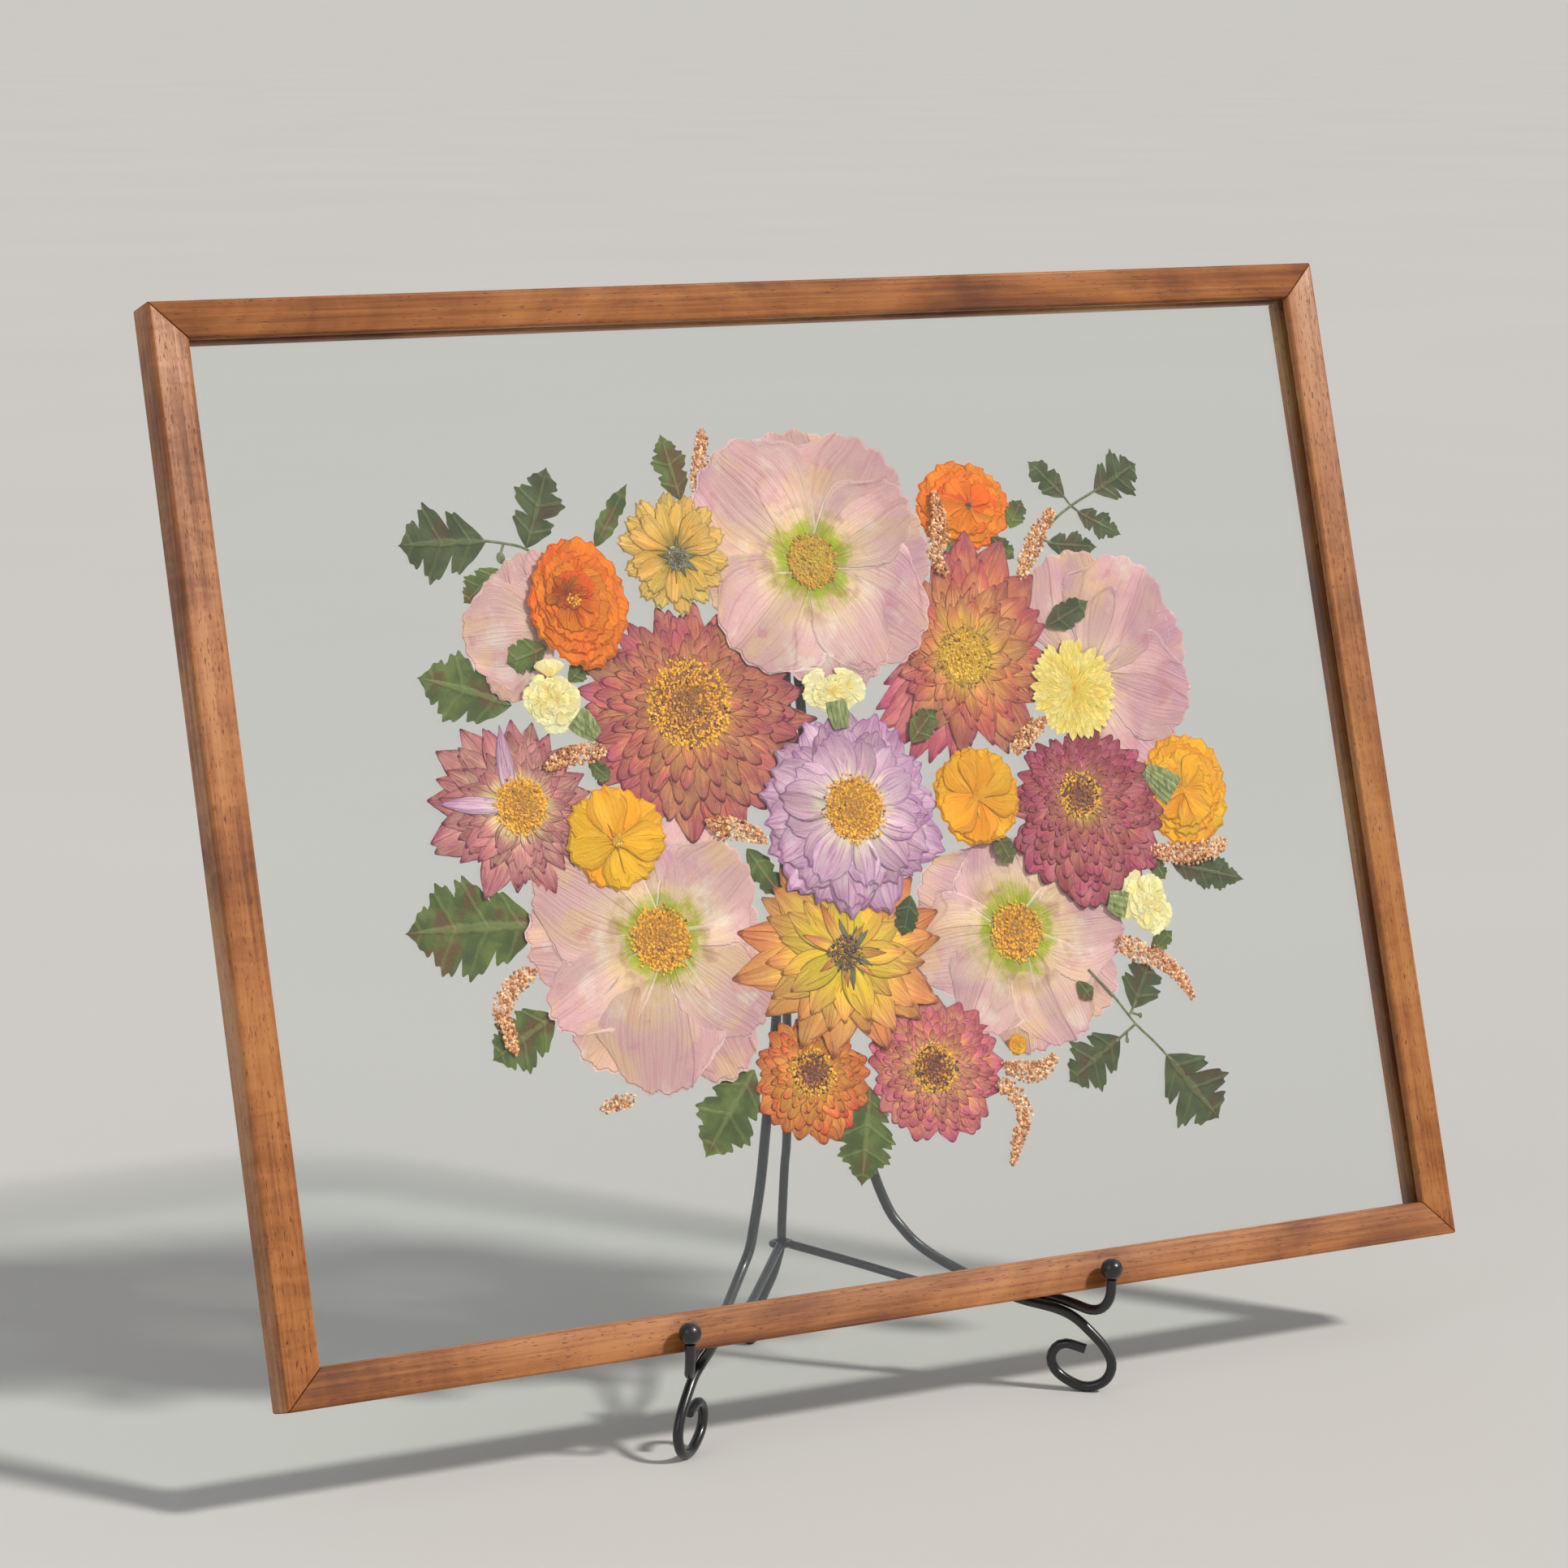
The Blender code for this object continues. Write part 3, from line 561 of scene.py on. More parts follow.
for side, word in ((1, "right"), (-1, "left")):
    easel_piece(f"{word}_front_leg_wire", [bent_wire(LEG_ROUTE, WIRE, side)], f"{word}_front_leg")
    easel_piece(f"{word}_hook_wire", [bent_wire(HOOK_ROUTE, WIRE, side), ball_mesh(KNOB, side)],
                f"{word}_hook")
easel_piece("back_leg_wire", [bent_wire(BACK_LEG_ROUTE, BACK_WIRE), ball_mesh(FOOT)], "back_leg")
turn = [Vector(EYE_CENTRE) + Vector((math.sin(a), -math.cos(a), 0.08 * math.cos(a))) * EYE_RADIUS
        for a in np.linspace(0, 2 * math.pi, 32, endpoint=False)]
eye = grow(wire_tree, {"Radius": EYE_WIRE / 2, "Sides": 14, "Finish": black_wire}, path_curve(turn, True))
arms = [bent_wire(BRACE_ARM, BRACE_WIRE, side) for side in (1, -1)]
easel_piece("brace_wire", [eye] + arms, "easel_brace")

# %% [markdown]
# ## Dried tissue
# Every petal carries a map of its own: x runs across it and y from its base to its tip. One shader group
# reads that map and gives the marks that all pressed petals share: a thin dark line round the margin,
# which is pigment and also painted shadow where a petal's edge would cast one, painted shade that darkens
# towards the sides, veins and a fold or two along the length, soft blotches, painted fold shade that
# makes one side of a fold lighter and the other darker, and the crinkles of drying as a normal. A fold
# is where a stretched noise crosses a half: that contour wanders along the petal like a crease.

# %% Petal skin group
petal_skin, given, out = group(
    "petal_skin", "ShaderNodeTree",
    [("Map", "Vector"), ("Place", "Vector"), ("Chance", "Float"), ("Veins", "Float", 16.0),
     ("Margin", "Float", 0.16), ("Crinkle", "Float", 0.5), ("Folds", "Float", 1.0)],
    [("Along", "Float"), ("Margin Line", "Float"), ("Vein Line", "Float"), ("Fold Line", "Float"),
     ("Blotch", "Float"), ("Shade", "Float"), ("Normal", "Vector")],
)
parts = node(petal_skin, "ShaderNodeSeparateXYZ", {0: given["Map"]}).outputs
across = maths(petal_skin, "ABSOLUTE", maths(petal_skin, "MULTIPLY_ADD", parts[0], 2.0, -1.0))
wobble = noise(petal_skin, given["Place"], 420.0, 2.0)
soft_wobble = noise(petal_skin, given["Place"], 70.0, 2.0)


def along_petal(repeats, long_way, number):
    """A vector that repeats across the petal, runs slowly along it and differs from petal to petal."""
    return node(petal_skin, "ShaderNodeCombineXYZ", {
        0: maths(petal_skin, "MULTIPLY", parts[0], repeats),
        1: maths(petal_skin, "MULTIPLY", parts[1], long_way),
        2: maths(petal_skin, "MULTIPLY", given["Chance"], number)}).outputs[0]


veins = noise(petal_skin, along_petal(given["Veins"], 1.6, 37.0), 1.0, 3.0, 0.6, 0.3)
broad = noise(petal_skin, along_petal(2.4, 0.7, 53.0), 1.0, 1.0)
along = maths(petal_skin, "ADD", parts[1], maths(petal_skin, "MULTIPLY_ADD", soft_wobble, 0.24, -0.12))
along = maths(petal_skin, "ADD", along, maths(petal_skin, "MULTIPLY_ADD", veins, 0.6, -0.3))
petal_skin.links.new(along, out["Along"])
side_edge = maths(petal_skin, "ADD", across, maths(petal_skin, "MULTIPLY_ADD", wobble, 0.12, -0.06))
tip_edge = maths(petal_skin, "ADD", parts[1], maths(petal_skin, "MULTIPLY_ADD", wobble, 0.06, -0.03))
inner = maths(petal_skin, "SUBTRACT", 1.0, given["Margin"])
half_inner = maths(petal_skin, "SUBTRACT", 1.0, maths(petal_skin, "MULTIPLY", given["Margin"], 0.5))
# the margin line: pigment, and painted shadow where the petal's edge would cast one
rim = maths(petal_skin, "MAXIMUM", spread(petal_skin, side_edge, inner, 0.99),
            spread(petal_skin, tip_edge, half_inner, 0.99))
# painted shade: the petal darkens towards its sides
shaded_side = maths(petal_skin, "MULTIPLY", maths(petal_skin, "POWER", across, 3.0), 0.32)
petal_skin.links.new(maths(petal_skin, "MAXIMUM", rim, shaded_side), out["Margin Line"])
petal_skin.links.new(spread(petal_skin, veins, 0.50, 0.68), out["Vein Line"])
# Shade is painted fold shade: one side of a fold lighter, the other darker
petal_skin.links.new(spread(petal_skin, broad, 0.38, 0.62, 0.86, 1.1), out["Shade"])
from_fold = maths(petal_skin, "ABSOLUTE", maths(petal_skin, "SUBTRACT", broad, 0.5))
petal_skin.links.new(spread(petal_skin, from_fold, 0.003, 0.02, 1.0, 0.0), out["Fold Line"])
blotch = noise(petal_skin, given["Place"], 120.0, 4.0)
petal_skin.links.new(spread(petal_skin, blotch, 0.42, 0.66), out["Blotch"])
fine = noise(petal_skin, given["Place"], 900.0, 3.0, 0.6, 0.6)
crinkles = maths(petal_skin, "MULTIPLY_ADD", fine, 0.4, veins)
folded = maths(petal_skin, "MULTIPLY_ADD", broad, 2.4, spread(petal_skin, broad, 0.49, 0.51, 0.0, 0.5))
relief = maths(petal_skin, "MULTIPLY_ADD", folded, given["Folds"], crinkles)
relief = maths(petal_skin, "SUBTRACT", relief, maths(petal_skin, "MULTIPLY", rim, 0.7))
bumped = node(petal_skin, "ShaderNodeBump", {"Height": relief, "Strength": given["Crinkle"],
                                             "Distance": 0.001})
petal_skin.links.new(bumped.outputs[0], out["Normal"])


def petal_body(name, veins, margin_width, crinkle, folds):
    """A new petal material with its skin group in it; returns both, its tree, shader and chance."""
    finish, tree, shader = new_finish(name, roughness=0.6, specular_ior_level=0.2, sheen_weight=0.05,
                                      sheen_roughness=0.5)
    chance = node(tree, "ShaderNodeAttribute", attribute_name="chance").outputs["Fac"]
    skin = placed_group(tree, petal_skin, {
        "Map": node(tree, "ShaderNodeUVMap", uv_map="UVMap").outputs[0],
        "Place": node(tree, "ShaderNodeTexCoord").outputs["Object"],
        "Chance": chance, "Veins": veins, "Margin": margin_width, "Crinkle": crinkle, "Folds": folds})
    tree.links.new(skin["Normal"], shader.inputs["Normal"])
    return finish, tree, shader, skin, chance


def petal_finish(name, stops, margin_and_edge_shadow, vein, blotch, margin_strength=0.8, vein_strength=0.4,
                 blotch_strength=0.4, veins=14.0, margin_width=0.15, crinkle=0.8, folds=0.7, variety=0.16,
                 inner_shift=0.36):
    """Dried petal: stops run from base to tip; margin, vein and blotch are the colours laid over them; the
    margin colour is pigment and painted shadow at the edge.
    """
    finish, tree, shader, skin, chance = petal_body(name, veins, margin_width, crinkle, folds)
    inner = node(tree, "ShaderNodeAttribute", attribute_name="inner").outputs["Fac"]
    along = maths(tree, "SUBTRACT", skin["Along"], maths(tree, "MULTIPLY", inner, inner_shift))
    body = ramp(tree, along, [(at, colour(code)) for at, code in stops])
    body = blend(tree, maths(tree, "MULTIPLY", skin["Blotch"], blotch_strength), body, colour(blotch))
    body = blend(tree, maths(tree, "MULTIPLY", skin["Vein Line"], vein_strength), body, colour(vein))
    body = blend(tree, maths(tree, "MULTIPLY", skin["Fold Line"], 0.25), body, colour(margin_and_edge_shadow))
    # pigment and painted edge shadow along the margin line, with the painted side shade
    body = blend(tree, maths(tree, "MULTIPLY", skin["Margin Line"], margin_strength), body, colour(margin_and_edge_shadow))
    # lightness: painted fold shade times each petal's own tone
    lightness = maths(tree, "MULTIPLY", skin["Shade"], maths(tree, "MULTIPLY_ADD", chance, 2 * variety,
                                                             1.0 - variety))
    hue = maths(tree, "MULTIPLY_ADD", chance, -0.024, 0.512)
    body = node(tree, "ShaderNodeHueSaturation", {"Hue": hue, "Value": lightness, "Color": body}).outputs[0]
    tree.links.new(body, shader.inputs["Base Color"])
    return finish


print("petal skin ready")

# %% [markdown]
# Each kind of bloom has its own colours, from the base of a petal to its tip. They are written as named
# stops, so a change to one bloom's colours is one line. A bloom's inner petals are younger and nearer to
# the base colours, so the ring that a petal is in shifts its stops.

# %% Petal finishes
PETALS = {
    "terracotta": petal_finish("petal_terracotta", [(0.0, "#E8A84C"), (0.3, "#D4845A"), (0.6, "#C0645C"),
                               (1.0, "#A84A64")], "#6C1C30", "#9C4440", "#E4A468"),
    "coral": petal_finish("petal_coral", [(0.0, "#F4BC44"), (0.3, "#E69850"), (0.6, "#D07054"),
                          (1.0, "#AC5064")], "#84283C", "#AC4C40", "#ECB070", 0.7),
    "rose": petal_finish("petal_rose", [(0.0, "#FCDC78"), (0.2, "#F4D09C"), (0.46, "#D89084"),
                         (1.0, "#A85064")], "#782440", "#A44858", "#E8B49C", 0.75, 0.5, inner_shift=0.2),
    "crimson": petal_finish("petal_crimson", [(0.0, "#E4AC5C"), (0.3, "#D07C60"), (0.6, "#BC5464"),
                            (1.0, "#9C3454")], "#60182C", "#903040", "#D08C80", 0.85, 0.3),
    "magenta": petal_finish("petal_magenta", [(0.0, "#FCD440"), (0.3, "#EEA460"), (0.6, "#D87070"),
                            (1.0, "#B8486C")], "#882848", "#B04C5C", "#ECA088", 0.75, 0.35),
    "burnt_orange": petal_finish("petal_burnt_orange", [(0.0, "#FCC830"), (0.35, "#F09C3C"),
                                 (0.7, "#DC6C34"), (1.0, "#C85424")], "#903018", "#B84C20", "#F0A050", 0.8),
    "lilac": petal_finish("petal_lilac", [(0.0, "#FFECA0"), (0.17, "#FAE2CC"), (0.40, "#E8B8C8"),
                          (1.0, "#C48CB0")], "#9C649C", "#AC68A0", "#ECD0DC", 0.6, 0.5, inner_shift=0.06),
    "rust_tipped": petal_finish("petal_rust_tipped", [(0.0, "#F4CC20"), (0.42, "#F4C040"), (0.66, "#E49850"),
                                (1.0, "#C87044")], "#944C30", "#CC8440", "#F4CC70", 0.75, 0.4, 0.2,
                                inner_shift=0.3),
    "zinnia_gold": petal_finish("petal_zinnia_gold", [(0.0, "#B08C38"), (0.3, "#F4B44C"), (1.0, "#F8C468")],
                                "#907838", "#A88C40", "#FFD480", 0.6, 0.55, inner_shift=0.1),
    "marigold_orange": petal_finish("petal_marigold_orange", [(0.0, "#F87808"), (0.5, "#FF8008"),
                                    (1.0, "#FF8C14")], "#D85C04", "#EC6404", "#FF9C28", 0.6, 0.35, 0.25,
                                    variety=0.08),
    "marigold_deep": petal_finish("petal_marigold_deep", [(0.0, "#D85404"), (0.3, "#F06C04"),
                                  (1.0, "#FC7C0C")], "#C04C04", "#D85804", "#FF9020", 0.6, 0.4, 0.25,
                                  variety=0.08),
    "marigold_gold": petal_finish("petal_marigold_gold", [(0.0, "#FCA408"), (0.5, "#FFAE08"),
                                  (1.0, "#FFB20C")], "#D08004", "#F09C08", "#FFC850", 0.65, 0.4, 0.25,
                                  variety=0.06),
    "cream": petal_finish("petal_cream", [(0.0, "#FCD468"), (0.5, "#FFEC9C"), (1.0, "#FFF6C0")], "#DCB868",
                          "#F4D484", "#FFFCDC", 0.3, 0.3, variety=0.03, crinkle=0.5, folds=0.4),
    "sage": petal_finish("sage_sepals", [(0.0, "#6C6444"), (0.5, "#8C8860"), (1.0, "#80785C")], "#54503C",
                         "#5C583C", "#A8A47C", 0.6, 0.5),
    "pompon": petal_finish("petal_pompon", [(0.0, "#E0AC30"), (0.5, "#FCD860"), (1.0, "#FFEA94")],
                           "#CCA048", "#E0B450", "#FFF0A8", 0.25, 0.2, variety=0.1, crinkle=0.4),
    "curled": petal_finish("petal_curled_brown", [(0.0, "#A04008"), (0.6, "#D05808"), (1.0, "#EC6C08")],
                           "#7C2C08", "#A43C08", "#F07C18", 0.7),
}
print(len(PETALS), "petal finishes")

# %% [markdown]
# The big papery blooms are almost see-through, and their colours go by the distance from the eye, not
# along each petal: green round the disc, a broken ring of plum-brown smudges, cream, then blush that
# wanders into peach and mauve. Their meshes carry that distance as an attribute. A little Alpha lets one
# petal deepen the colour of the next.

# %% Papery pink finish
# a wash's scale, where its noise starts and ends, its strength and its colour
WASHES = (
    (42.0, 0.48, 0.64, 0.75, "#EEC8A4"), (36.0, 0.52, 0.66, 0.6, "#D4A0B4"),
    (58.0, 0.56, 0.68, 0.6, "#F4E2D4"), (75.0, 0.60, 0.70, 0.5, "#D8949C"),
)


def papery_finish(name):
    finish, tree, shader, skin, chance = petal_body(name, 42.0, 0.05, 0.75, 0.8)
    place = node(tree, "ShaderNodeTexCoord").outputs["Object"]
    from_eye = node(tree, "ShaderNodeAttribute", attribute_name="from_eye").outputs["Fac"]
    patch = noise(tree, place, 200.0, 3.0)
    pushed = maths(tree, "ADD", from_eye, maths(tree, "MULTIPLY_ADD", patch, 0.40, -0.18))
    pushed = maths(tree, "ADD", pushed, maths(tree, "MULTIPLY", skin["Vein Line"], 0.05))
    body = ramp(tree, pushed, [(at, colour(code)) for at, code in (
        (0.0, "#8C9030"), (0.26, "#A0AC3C"), (0.33, "#B8B458"), (0.40, "#E0C49C"), (0.50, "#ECCCB4"),
        (0.66, "#EAC1BC"), (1.0, "#E6B8B8"))])
    far = spread(tree, from_eye, 0.36, 0.5)
    for scale, low, high, share, code in WASHES:
        shifted = stretched(tree, place, (1.0, 1.0, 1.0), shift=(scale, 0.3 * scale, -scale))
        patches = spread(tree, noise(tree, shifted, scale, 3.0), low, high, 0.0, share)
        body = blend(tree, maths(tree, "MULTIPLY", far, patches), body, colour(code))
    ring = maths(tree, "MULTIPLY", spread(tree, from_eye, 0.30, 0.37),
                 spread(tree, from_eye, 0.42, 0.54, 1.0, 0.0))
    smudges = spread(tree, noise(tree, place, 90.0, 2.0), 0.52, 0.62, 0.0, 0.4)
    smudged = maths(tree, "MULTIPLY", ring, smudges)
    body = blend(tree, smudged, body, colour("#9C6450"))
    body = blend(tree, maths(tree, "MULTIPLY", skin["Vein Line"], 0.3), body, colour("#CC8890"))
    body = blend(tree, maths(tree, "MULTIPLY", skin["Fold Line"], 0.2), body, colour("#B47870"))
    body = blend(tree, maths(tree, "MULTIPLY", skin["Margin Line"], 0.4), body, colour("#F6DCDC"))
    # painted fold shade and each petal's own tone set the value
    body = node(tree, "ShaderNodeHueSaturation", {
        "Saturation": 1.12, "Value": maths(tree, "MULTIPLY", skin["Shade"], maths(
            tree, "MULTIPLY_ADD", chance, 0.12, 1.02)), "Color": body}).outputs[0]
    tree.links.new(body, shader.inputs["Base Color"])
    tree.links.new(spread(tree, from_eye, 0.35, 0.8, 1.0, 0.84), shader.inputs["Alpha"])
    return finish


PETALS["papery_pink"] = papery_finish("petal_papery_pink")
print("papery pink ready")

# %% [markdown]
# ## Petals
# A petal starts as a flat grid that Blender also maps from 0 to 1 both ways. Each point is then moved: the
# sides follow a width that swells and closes, the tip is rounded or notched, and small waves lift the
# margin. Solidify gives it the thickness of dried tissue. Three sisters of each shape, with different
# waves, keep a bloom from looking stamped.

# %% Petal shapes
TISSUE = 0.03


def shaped_petal(name, base, bias, fullness, tip, rounding, notch, notches, wave, seed, cells):
    """A petal one unit long and one wide, its base at the origin and its tip at +Y."""
    chance = np.random.default_rng(seed)
    phase, lean, curl = chance.uniform(0, 6.3), chance.uniform(-0.05, 0.05), chance.uniform(0.5, 1.0)
    mesh = bpy.data.meshes.new(name)
    sheet = bmesh.new()
    sheet.loops.layers.uv.new("UVMap")
    bmesh.ops.create_grid(sheet, x_segments=cells[0], y_segments=cells[1], size=0.5, calc_uvs=True)
    for vertex in sheet.verts:
        s, t = vertex.co.x * 2, vertex.co.y + 0.5
        swell = math.sin(math.pi * min(1.0, t) ** bias) ** fullness if 0 < t < 1 else 0.0
        half = 0.5 * (base * (1 - t) + tip * t**3 + (1 - tip * t**3) * swell)
        teeth = notch * 0.5 * (1 - math.cos(math.pi * notches * (s + 1) + lean * 20)) * t**5
        y = t * (1 - rounding * abs(s) ** 2.8 * t * t) - teeth
        z = wave * (math.sin(5.5 * t + phase + 2.2 * s) * abs(s) + 0.7 * math.sin(9 * s * curl + phase) * t)
        vertex.co = (half * s + lean * t * t, y, z)
    sheet.to_mesh(mesh)
    sheet.free()
    petal = bpy.data.objects.new(name, mesh)
    body = petal.modifiers.new("tissue", "SOLIDIFY")
    body.thickness = TISSUE
    body.offset = 0.0
    return petal


PETAL_SHAPES = {
    # base, bias, fullness, tip, rounding, notch, notches, wave
    "pointed": (0.30, 1.10, 0.70, 0.22, 0.12, 0.0, 1, 0.02),
    "broad": (0.40, 1.40, 0.55, 0.62, 0.30, 0.02, 2, 0.015),
    "spoon": (0.30, 1.40, 0.65, 0.70, 0.34, 0.03, 2, 0.02),
    "ruffled": (0.26, 1.60, 0.80, 0.92, 0.16, 0.08, 3, 0.03),
    "notched": (0.30, 1.35, 0.60, 0.60, 0.12, 0.09, 2, 0.02),
    "spiky": (0.60, 1.05, 0.60, 0.40, 0.10, 0.0, 1, 0.03),
    "papery": (0.16, 1.60, 0.60, 0.86, 0.30, 0.035, 5, 0.05),
}
# how finely each shape's grid is cut: coarser where petals are many and small, finer where they are broad
PLAIN_CELLS = (8, 12)
CELLS = {"spiky": (3, 5), "broad": (6, 9), "papery": (20, 26)}
SISTERS = 3
petal_boxes = {}
for word, shape in PETAL_SHAPES.items():
    petal_boxes[word] = bpy.data.collections.new(f"petals_{word}")
    for number in range(SISTERS):
        petal = shaped_petal(f"{word}_{number}", *shape, seed=number + 5, cells=CELLS.get(word, PLAIN_CELLS))
        petal_boxes[word].objects.link(petal)
print(len(petal_boxes), "petal shapes, each in", SISTERS, "sisters")

# %% [markdown]
# A bloom is rings of petals: the same number in each ring, each ring shorter than the one below it and
# turned half a petal. That is a rule, so Geometry Nodes lays them. Every point's number says which ring
# and which place it has; the point then gets a petal, picked, sized and rolled with a fixed seed.
# Most eyes are not quite in the middle of their bloom. The petals grow from the eye and still end on the
# outline's circle: with the eye off by e, a petal that points along d is -e.d + sqrt(R^2 - e^2 + (e.d)^2)
# long, which is where a line from the eye meets a circle of radius R.

# %% Petal ring tree
rings_tree, given, out = tree_in_nodes(
    "petal_rings",
    [("Petals", "Collection"), ("Each Ring", "Int", 14), ("Rings", "Int", 4), ("Reach", "Float", 40.0),
     ("Inner Share", "Float", 0.5), ("Off Right", "Float"), ("Off Up", "Float"), ("Start", "Float", 6.0),
     ("Longest", "Float", 99.0), ("Breadth", "Float", 1.1), ("Up Over Across", "Float", 1.0),
     ("Turn", "Float"), ("Stray", "Float", 0.12), ("Step", "Float", 0.05), ("Roll", "Float", 0.005),
     ("Uneven", "Float", 0.1), ("Seed", "Int"), ("Finish", "Material")],
)


def chance_between(tree, low, high, seed, kind="FLOAT"):
    first = {"FLOAT": 2, "INT": 4}[kind]
    made = node(tree, "FunctionNodeRandomValue", {first: low, first + 1: high, "Seed": seed}, data_type=kind)
    return made.outputs[{"FLOAT": 1, "INT": 2}[kind]]


def seed_plus(tree, seed, more):
    return maths(tree, "ADD", seed, float(more))


number = node(rings_tree, "GeometryNodeInputIndex").outputs[0]
count = maths(rings_tree, "MULTIPLY", given["Each Ring"], given["Rings"])
points = node(rings_tree, "GeometryNodePoints", {"Count": count}).outputs[0]
ring = maths(rings_tree, "FLOOR", maths(rings_tree, "DIVIDE", maths(rings_tree, "ADD", number, 0.5),
                                        given["Each Ring"]))
share = maths(rings_tree, "DIVIDE", ring, maths(rings_tree, "MAXIMUM", 1.0, maths(
    rings_tree, "SUBTRACT", given["Rings"], 1.0)))
in_ring = maths(rings_tree, "SUBTRACT", number, maths(rings_tree, "MULTIPLY", ring, given["Each Ring"]))
slot_turn = maths(rings_tree, "DIVIDE", maths(rings_tree, "MULTIPLY_ADD", ring, 0.5, in_ring),
                  given["Each Ring"])
stray = chance_between(rings_tree, -1.0, 1.0, given["Seed"])
angle = maths(rings_tree, "MULTIPLY_ADD", slot_turn, 2 * math.pi, given["Turn"])
angle = maths(rings_tree, "ADD", angle, maths(rings_tree, "MULTIPLY", stray, given["Stray"]))
off, off_up = given["Off Right"], given["Off Up"]
toward = maths(rings_tree, "MULTIPLY_ADD", off, maths(rings_tree, "COSINE", angle), maths(
    rings_tree, "MULTIPLY", off_up, maths(rings_tree, "SINE", angle)))
off_squared = maths(rings_tree, "MULTIPLY_ADD", off, off, maths(rings_tree, "MULTIPLY", off_up, off_up))
under_root = maths(rings_tree, "SUBTRACT", maths(rings_tree, "MULTIPLY_ADD", toward, toward, maths(
    rings_tree, "MULTIPLY", given["Reach"], given["Reach"])), off_squared)
to_outline = maths(rings_tree, "SUBTRACT", maths(rings_tree, "SQRT", under_root), toward)
shrink = maths(rings_tree, "SUBTRACT", given["Inner Share"], 1.0)
ring_share = maths(rings_tree, "MULTIPLY_ADD", share, shrink, 1.0)
reach = maths(rings_tree, "MULTIPLY", to_outline, ring_share)
uneven = chance_between(rings_tree, -1.0, 0.25, seed_plus(rings_tree, given["Seed"], 1))
reach = maths(rings_tree, "MULTIPLY", reach, maths(rings_tree, "MULTIPLY_ADD", uneven, given["Uneven"], 1.0))
length = maths(rings_tree, "MINIMUM", maths(rings_tree, "SUBTRACT", reach, given["Start"]), given["Longest"])
start = maths(rings_tree, "SUBTRACT", reach, length)
width = maths(rings_tree, "DIVIDE", maths(rings_tree, "MULTIPLY", reach, given["Breadth"]), maths(
    rings_tree, "DIVIDE", given["Each Ring"], 2 * math.pi))
height = maths(rings_tree, "MULTIPLY", given["Step"], maths(rings_tree, "ADD", ring, chance_between(
    rings_tree, 0.0, 0.7, seed_plus(rings_tree, given["Seed"], 4))))
base = node(rings_tree, "ShaderNodeCombineXYZ", {
    0: maths(rings_tree, "MULTIPLY", start, maths(rings_tree, "COSINE", angle)),
    1: maths(rings_tree, "MULTIPLY", start, maths(rings_tree, "SINE", angle)),
    2: height}).outputs[0]
points = node(rings_tree, "GeometryNodeSetPosition", {"Geometry": points, "Position": base}).outputs[0]
sisters = node(rings_tree, "GeometryNodeCollectionInfo",
               {"Collection": given["Petals"], "Separate Children": True}).outputs[0]
pick = chance_between(rings_tree, 0, SISTERS - 1, seed_plus(rings_tree, given["Seed"], 2), "INT")
rolled = maths(rings_tree, "MULTIPLY", given["Roll"], chance_between(
    rings_tree, -1.0, 1.0, seed_plus(rings_tree, given["Seed"], 5)))
turned = node(rings_tree, "ShaderNodeCombineXYZ", {
    1: rolled, 2: maths(rings_tree, "SUBTRACT", angle, math.pi / 2)}).outputs[0]
sized = node(rings_tree, "ShaderNodeCombineXYZ", {0: width, 1: length, 2: 1.0}).outputs[0]
laid = node(rings_tree, "GeometryNodeInstanceOnPoints", {
    "Points": points, "Instance": sisters, "Pick Instance": True, "Instance Index": pick,
    "Rotation": turned, "Scale": sized}).outputs[0]
own_chance = chance_between(rings_tree, 0.0, 1.0, seed_plus(rings_tree, given["Seed"], 3))
for word, value in (("chance", own_chance), ("inner", share)):
    laid = node(rings_tree, "GeometryNodeStoreNamedAttribute",
                {"Geometry": laid, "Name": word, "Value": value}, data_type="FLOAT", domain="INSTANCE"
                ).outputs[0]
laid = node(rings_tree, "GeometryNodeRealizeInstances", {"Geometry": laid}).outputs[0]
oval = node(rings_tree, "ShaderNodeCombineXYZ", {0: 1.0, 1: given["Up Over Across"], 2: 1.0}).outputs[0]
laid = node(rings_tree, "GeometryNodeTransform", {"Geometry": laid, "Scale": oval}).outputs[0]
laid = node(rings_tree, "GeometryNodeSetMaterial",
            {"Geometry": laid, "Material": given["Finish"]}).outputs[0]
rings_tree.links.new(laid, out["Geometry"])


def petal_rings(shape, finish, each, rings, reach, inner_share, start, **more):
    values = {"Petals": petal_boxes[shape], "Each Ring": each, "Rings": rings, "Reach": float(reach),
              "Inner Share": inner_share, "Start": float(start), "Finish": PETALS[finish]}
    values.update({key.replace("_", " ").title(): value for key, value in more.items()})
    return grow(rings_tree, values)


test = petal_rings("pointed", "terracotta", 12, 2, 30, 0.7, 5)
print("a bloom of 24 petals has", len(test.polygons), "faces;", [a.name for a in test.attributes])
bpy.data.meshes.remove(test)

# %% [markdown]
# ## Discs
# The eye of a bloom is packed with florets in the spiral that every daisy grows by: each one turns 137.5
# degrees from the last and sits a little further out. The tree needs only the count, the radius and a
# small floret to set on each point. Its distance from the middle is kept for the material to read. A thin
# pad under them stands for the florets that are buried.

# %% Disc tree
GOLDEN_ANGLE = math.pi * (3 - math.sqrt(5))


